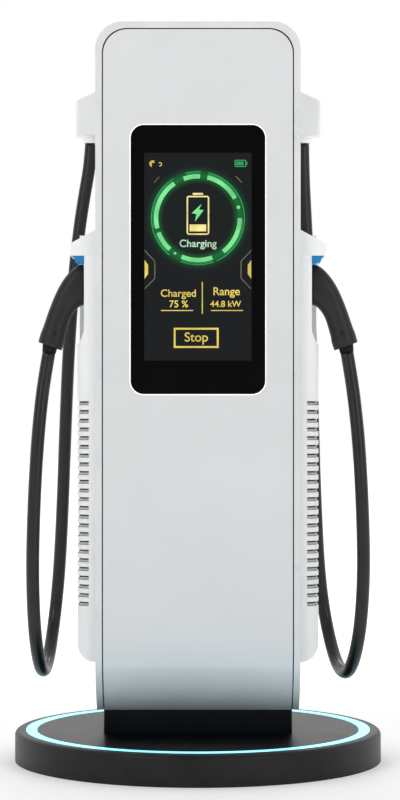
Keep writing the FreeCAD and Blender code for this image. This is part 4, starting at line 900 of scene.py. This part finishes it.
def icon_marks(mesh_data, middle):
    """Two small status icons: a cog and an open ring."""
    hub = mark(middle, -111.5, 228.5)
    ring_band(mesh_data, hub, 2.6 * MM, 5.4 * MM, -150, 60, MARK_DEPTH)
    for angle in (-150, -115, -80, -45, -10, 25):
        turn = Matrix.Rotation(math.radians(angle), 3, "Y")
        box_between(mesh_data, hub + Vector((-1.3, -0.3, 5)) * MM,
                    hub + Vector((1.3, 0, 8.5)) * MM, turn, hub)
    ring_band(mesh_data, mark(middle, -93.5, 227), 3.0 * MM, 5.2 * MM, -40, 200, MARK_DEPTH)


# Each word: its piece, text, middle, baseline, width and letter size in mm, and finish.
WORDS = [
    ("word_charging", "Charging", 0, 23.9, 91, 22, "screen_white"),
    ("word_charged", "Charged", -48, -98.5, 86, 20, "screen_amber"),
    ("word_share", "75 %", -47.5, -124.5, 46, 19.5, "screen_amber"),
    ("word_range", "Range", 70, -94.5, 65, 20, "screen_amber"),
    ("word_power", "44.8 kW", 68, -123.5, 76, 19.5, "screen_amber"),
    ("word_stop", "Stop", -4, -208.5, 57, 24.5, "screen_amber"),
]


DISPLAY_BORDER = 8 * MM  # the display's unlit edge, at its sides
DISPLAY_END = 10 * MM    # and at its ends
LIP_GAP = 3.0            # how far the lip reaches past the glass
LIP_SET = 1.5            # how far it stands behind the glass's face
LIP_ROUND = 35
LIP_WIDTH = 2.4


class POST_OT_screen(bpy.types.Operator):
    """Draw the lit charging screen on the glass"""
    bl_idname = "charging_post.screen"
    bl_label = "Screen"

    def execute(self, context):
        self.panel()
        self.glass_edge()
        screen_piece("screen_ring_lines", "screen_green", ring_marks)
        screen_piece("screen_ring_arcs", "screen_mint", ring_cores)
        screen_piece("screen_battery", "screen_cream", battery_marks)
        screen_piece("screen_controls", "screen_amber", amber_marks)
        screen_piece("screen_edge_lines", "screen_grey", tan_marks)
        screen_piece("screen_icons", "screen_amber", icon_marks)
        for entry in WORDS:
            self.word(*entry)
        return {"FINISHED"}

    def panel(self):
        """The display's lit area: near black, with the ring's green haze on it."""
        low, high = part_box("display_module")
        mesh_data = bmesh.new()
        middle = screen_middle()
        depth = settings().screen_lift * 0.5
        box_between(mesh_data,
                    (low.x + DISPLAY_BORDER, middle.y - depth, low.z + DISPLAY_END),
                    (high.x - DISPLAY_BORDER, middle.y + depth, high.z - DISPLAY_END))
        material, tree, shader = surface("display_face", "#141517", 0.16, specular=0.12)
        place = add(tree, "ShaderNodeTexCoord")
        hub = mark(middle, 0, RING_RISE)
        aside = add(tree, "ShaderNodeVectorMath", [(place.outputs["Object"], 0)],
                    {1: hub}, operation="SUBTRACT")
        reach = add(tree, "ShaderNodeVectorMath", [(aside.outputs["Vector"], 0)],
                    operation="LENGTH")
        haze = add(tree, "ShaderNodeValToRGB")
        spread = add(tree, "ShaderNodeMapRange", [(reach.outputs["Value"], "Value")],
                     {"From Min": 0.04, "From Max": 0.16})
        tree.links.new(spread.outputs["Result"], haze.inputs["Fac"])
        stops = haze.color_ramp.elements
        stops[0].color = linear("#131815")
        stops[1].color = linear("#131415")
        for position, code in ((0.38, "#131c17"), (0.46, "#13552a"), (0.53, "#167a3a"),
                               (0.6, "#146031"), (0.66, "#123a20"), (0.74, "#13191a")):
            stops.new(position).color = linear(code)
        tree.links.new(haze.outputs["Color"], shader.inputs["Emission Color"])
        shader.inputs["Emission Strength"].default_value = 0.8
        mesh = bpy.data.meshes.new("display_face")
        mesh_data.to_mesh(mesh)
        mesh_data.free()
        face = bpy.data.objects.new("display_face", mesh)
        bpy.context.scene.collection.objects.link(face)
        mesh.materials.append(material)
        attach(face, "front_door")

    def glass_edge(self):
        """The rolled lip of the door panel round the glass, self-lit white as a painted highlight
        along the glass's edge.
        """
        low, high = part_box("screen_glass")
        mesh_data = bmesh.new()
        middle = Vector((0, low.y + LIP_SET * MM, 0))
        round_frame(mesh_data, middle, high.x / MM + LIP_GAP, low.z / MM - LIP_GAP,
                    high.z / MM + LIP_GAP, LIP_ROUND, LIP_WIDTH)
        # Painted highlight: the lip is self-lit white so that it reads as the bright edge round
        # the glass.
        lip = finish_mesh("glass_lip", mesh_data, "lip_painted_highlight", "front_door", smooth=False)

    def word(self, name, text, x, baseline, width, size, material):
        """A word of a given width whose letters stand on its baseline."""
        letters = bpy.data.curves.new(name, "FONT")
        letters.body = text
        letters.align_x = "CENTER"
        letters.size = size * MM
        letters.extrude = MARK_DEPTH / 2
        letters.offset = 0.2 * MM
        holder = bpy.data.objects.new(name + "_text", letters)
        bpy.context.scene.collection.objects.link(holder)
        bpy.context.view_layer.update()
        mesh = bpy.data.meshes.new_from_object(holder)
        bpy.data.objects.remove(holder)
        reach = max(v.co.x for v in mesh.vertices) - min(v.co.x for v in mesh.vertices)
        stretch = width * MM / reach
        place = mark(screen_middle(), x, baseline) - Vector((0, MARK_DEPTH * 0.6, 0))
        mesh.transform(Matrix.Translation(place) @ Matrix.Rotation(math.radians(90), 4, "X")
                       @ Matrix.Diagonal((stretch, stretch, 1, 1)))
        obj = bpy.data.objects.new(name, mesh)
        bpy.context.scene.collection.objects.link(obj)
        dress(obj, material)
        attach(obj, "front_door")


# ---------------------------------------------------------------- finishes on the frame
NODE_FINISHES = {
    "powder_coat_white": ["cabinet_shell", "rear_frame", "front_door_panel", "rear_door_panel",
                          "rear_louvre_hoods"],
    "painted_trim": ["front_trim"],
    "moulded_white": ["wing_cover", "holster_hood", "holster", "cable_outlet", "cable_gland"],
    "lacquer_black": ["base_top_cover", "pedestal"],
    "satin_black": ["base_skirt", "front_door_frame", "hinge_seats", "front_hinge_leaves"],
    "ring_light": ["ring_light_lens"],
    "holster_blue": ["holster_light"],
    "glove_black": ["connector_nose", "connector_grip", "rear_lock_handle"],
    "soft_rubber": ["front_door_gasket", "rear_door_gasket", "cable_boot"],
    "cable_sheath": ["cable"],
    "display_glass": ["screen_glass"],
    "zinc_steel": ["base_plate", "base_ribs", "pedestal_bolts", "cabinet_floor",
                   "rear_hinge_leaves", "rear_lock_plate", "fan_tray",
                   "rack_rails", "equipment_plate", "front_door_stiffener",
                   "display_bracket", "ring_light_channel"],
    "module_grey": ["power_modules", "display_module"],
    "device_dark": ["contactors", "main_breaker", "control_unit", "card_reader"],
    "device_green": ["rail_devices"],
    "toggle_red": ["main_breaker_toggle"],
    "fan_black": ["fan_rotor"],
    "filter_fibre": ["air_filters"],
}


class POST_OT_finishes(bpy.types.Operator):
    """Give every piece of the frame its finish"""
    bl_idname = "charging_post.finishes"
    bl_label = "Frame Finishes"

    def execute(self, context):
        waiting = set(NODES)
        for finish, names in NODE_FINISHES.items():
            for name in names:
                for node in (name, "left_" + name, "right_" + name):
                    if node in NODES:
                        dress(NODES[node], finish)
                        waiting.discard(node)
        if waiting:
            raise RuntimeError("no finish for " + ", ".join(sorted(waiting)))
        return {"FINISHED"}


# ---------------------------------------------------------------- panel and running
STEPS = ["stage", "finishes", "vents", "seal", "grips", "cables", "screen"]


class POST_PT_sidebar(bpy.types.Panel):
    """Lists the post's sizes and building steps"""
    bl_idname = "POST_PT_sidebar"
    bl_label = "Charging Post"
    bl_space_type = "VIEW_3D"
    bl_region_type = "UI"
    bl_category = "Charging Post"

    def draw(self, context):
        sizes = context.scene.charging_post
        for name in ("sheath_diameter", "camera_distance", "camera_height", "floor_shade",
                     "screen_lift", "grip_rings"):
            self.layout.prop(sizes, name)
        for step in STEPS:
            self.layout.operator("charging_post." + step)


CLASSES = [ChargingPostSettings, POST_OT_stage, POST_OT_finishes, POST_OT_vents,
           POST_OT_seal, POST_OT_grips, POST_OT_cables, POST_OT_screen, POST_PT_sidebar]


def register():
    for entry in CLASSES:
        bpy.utils.register_class(entry)
    bpy.types.Scene.charging_post = PointerProperty(type=ChargingPostSettings)


def unregister():
    del bpy.types.Scene.charging_post
    for entry in reversed(CLASSES):
        bpy.utils.unregister_class(entry)


def main():
    register()
    for step in STEPS:
        getattr(bpy.ops.charging_post, step)()


if __name__ == "__main__":
    main()
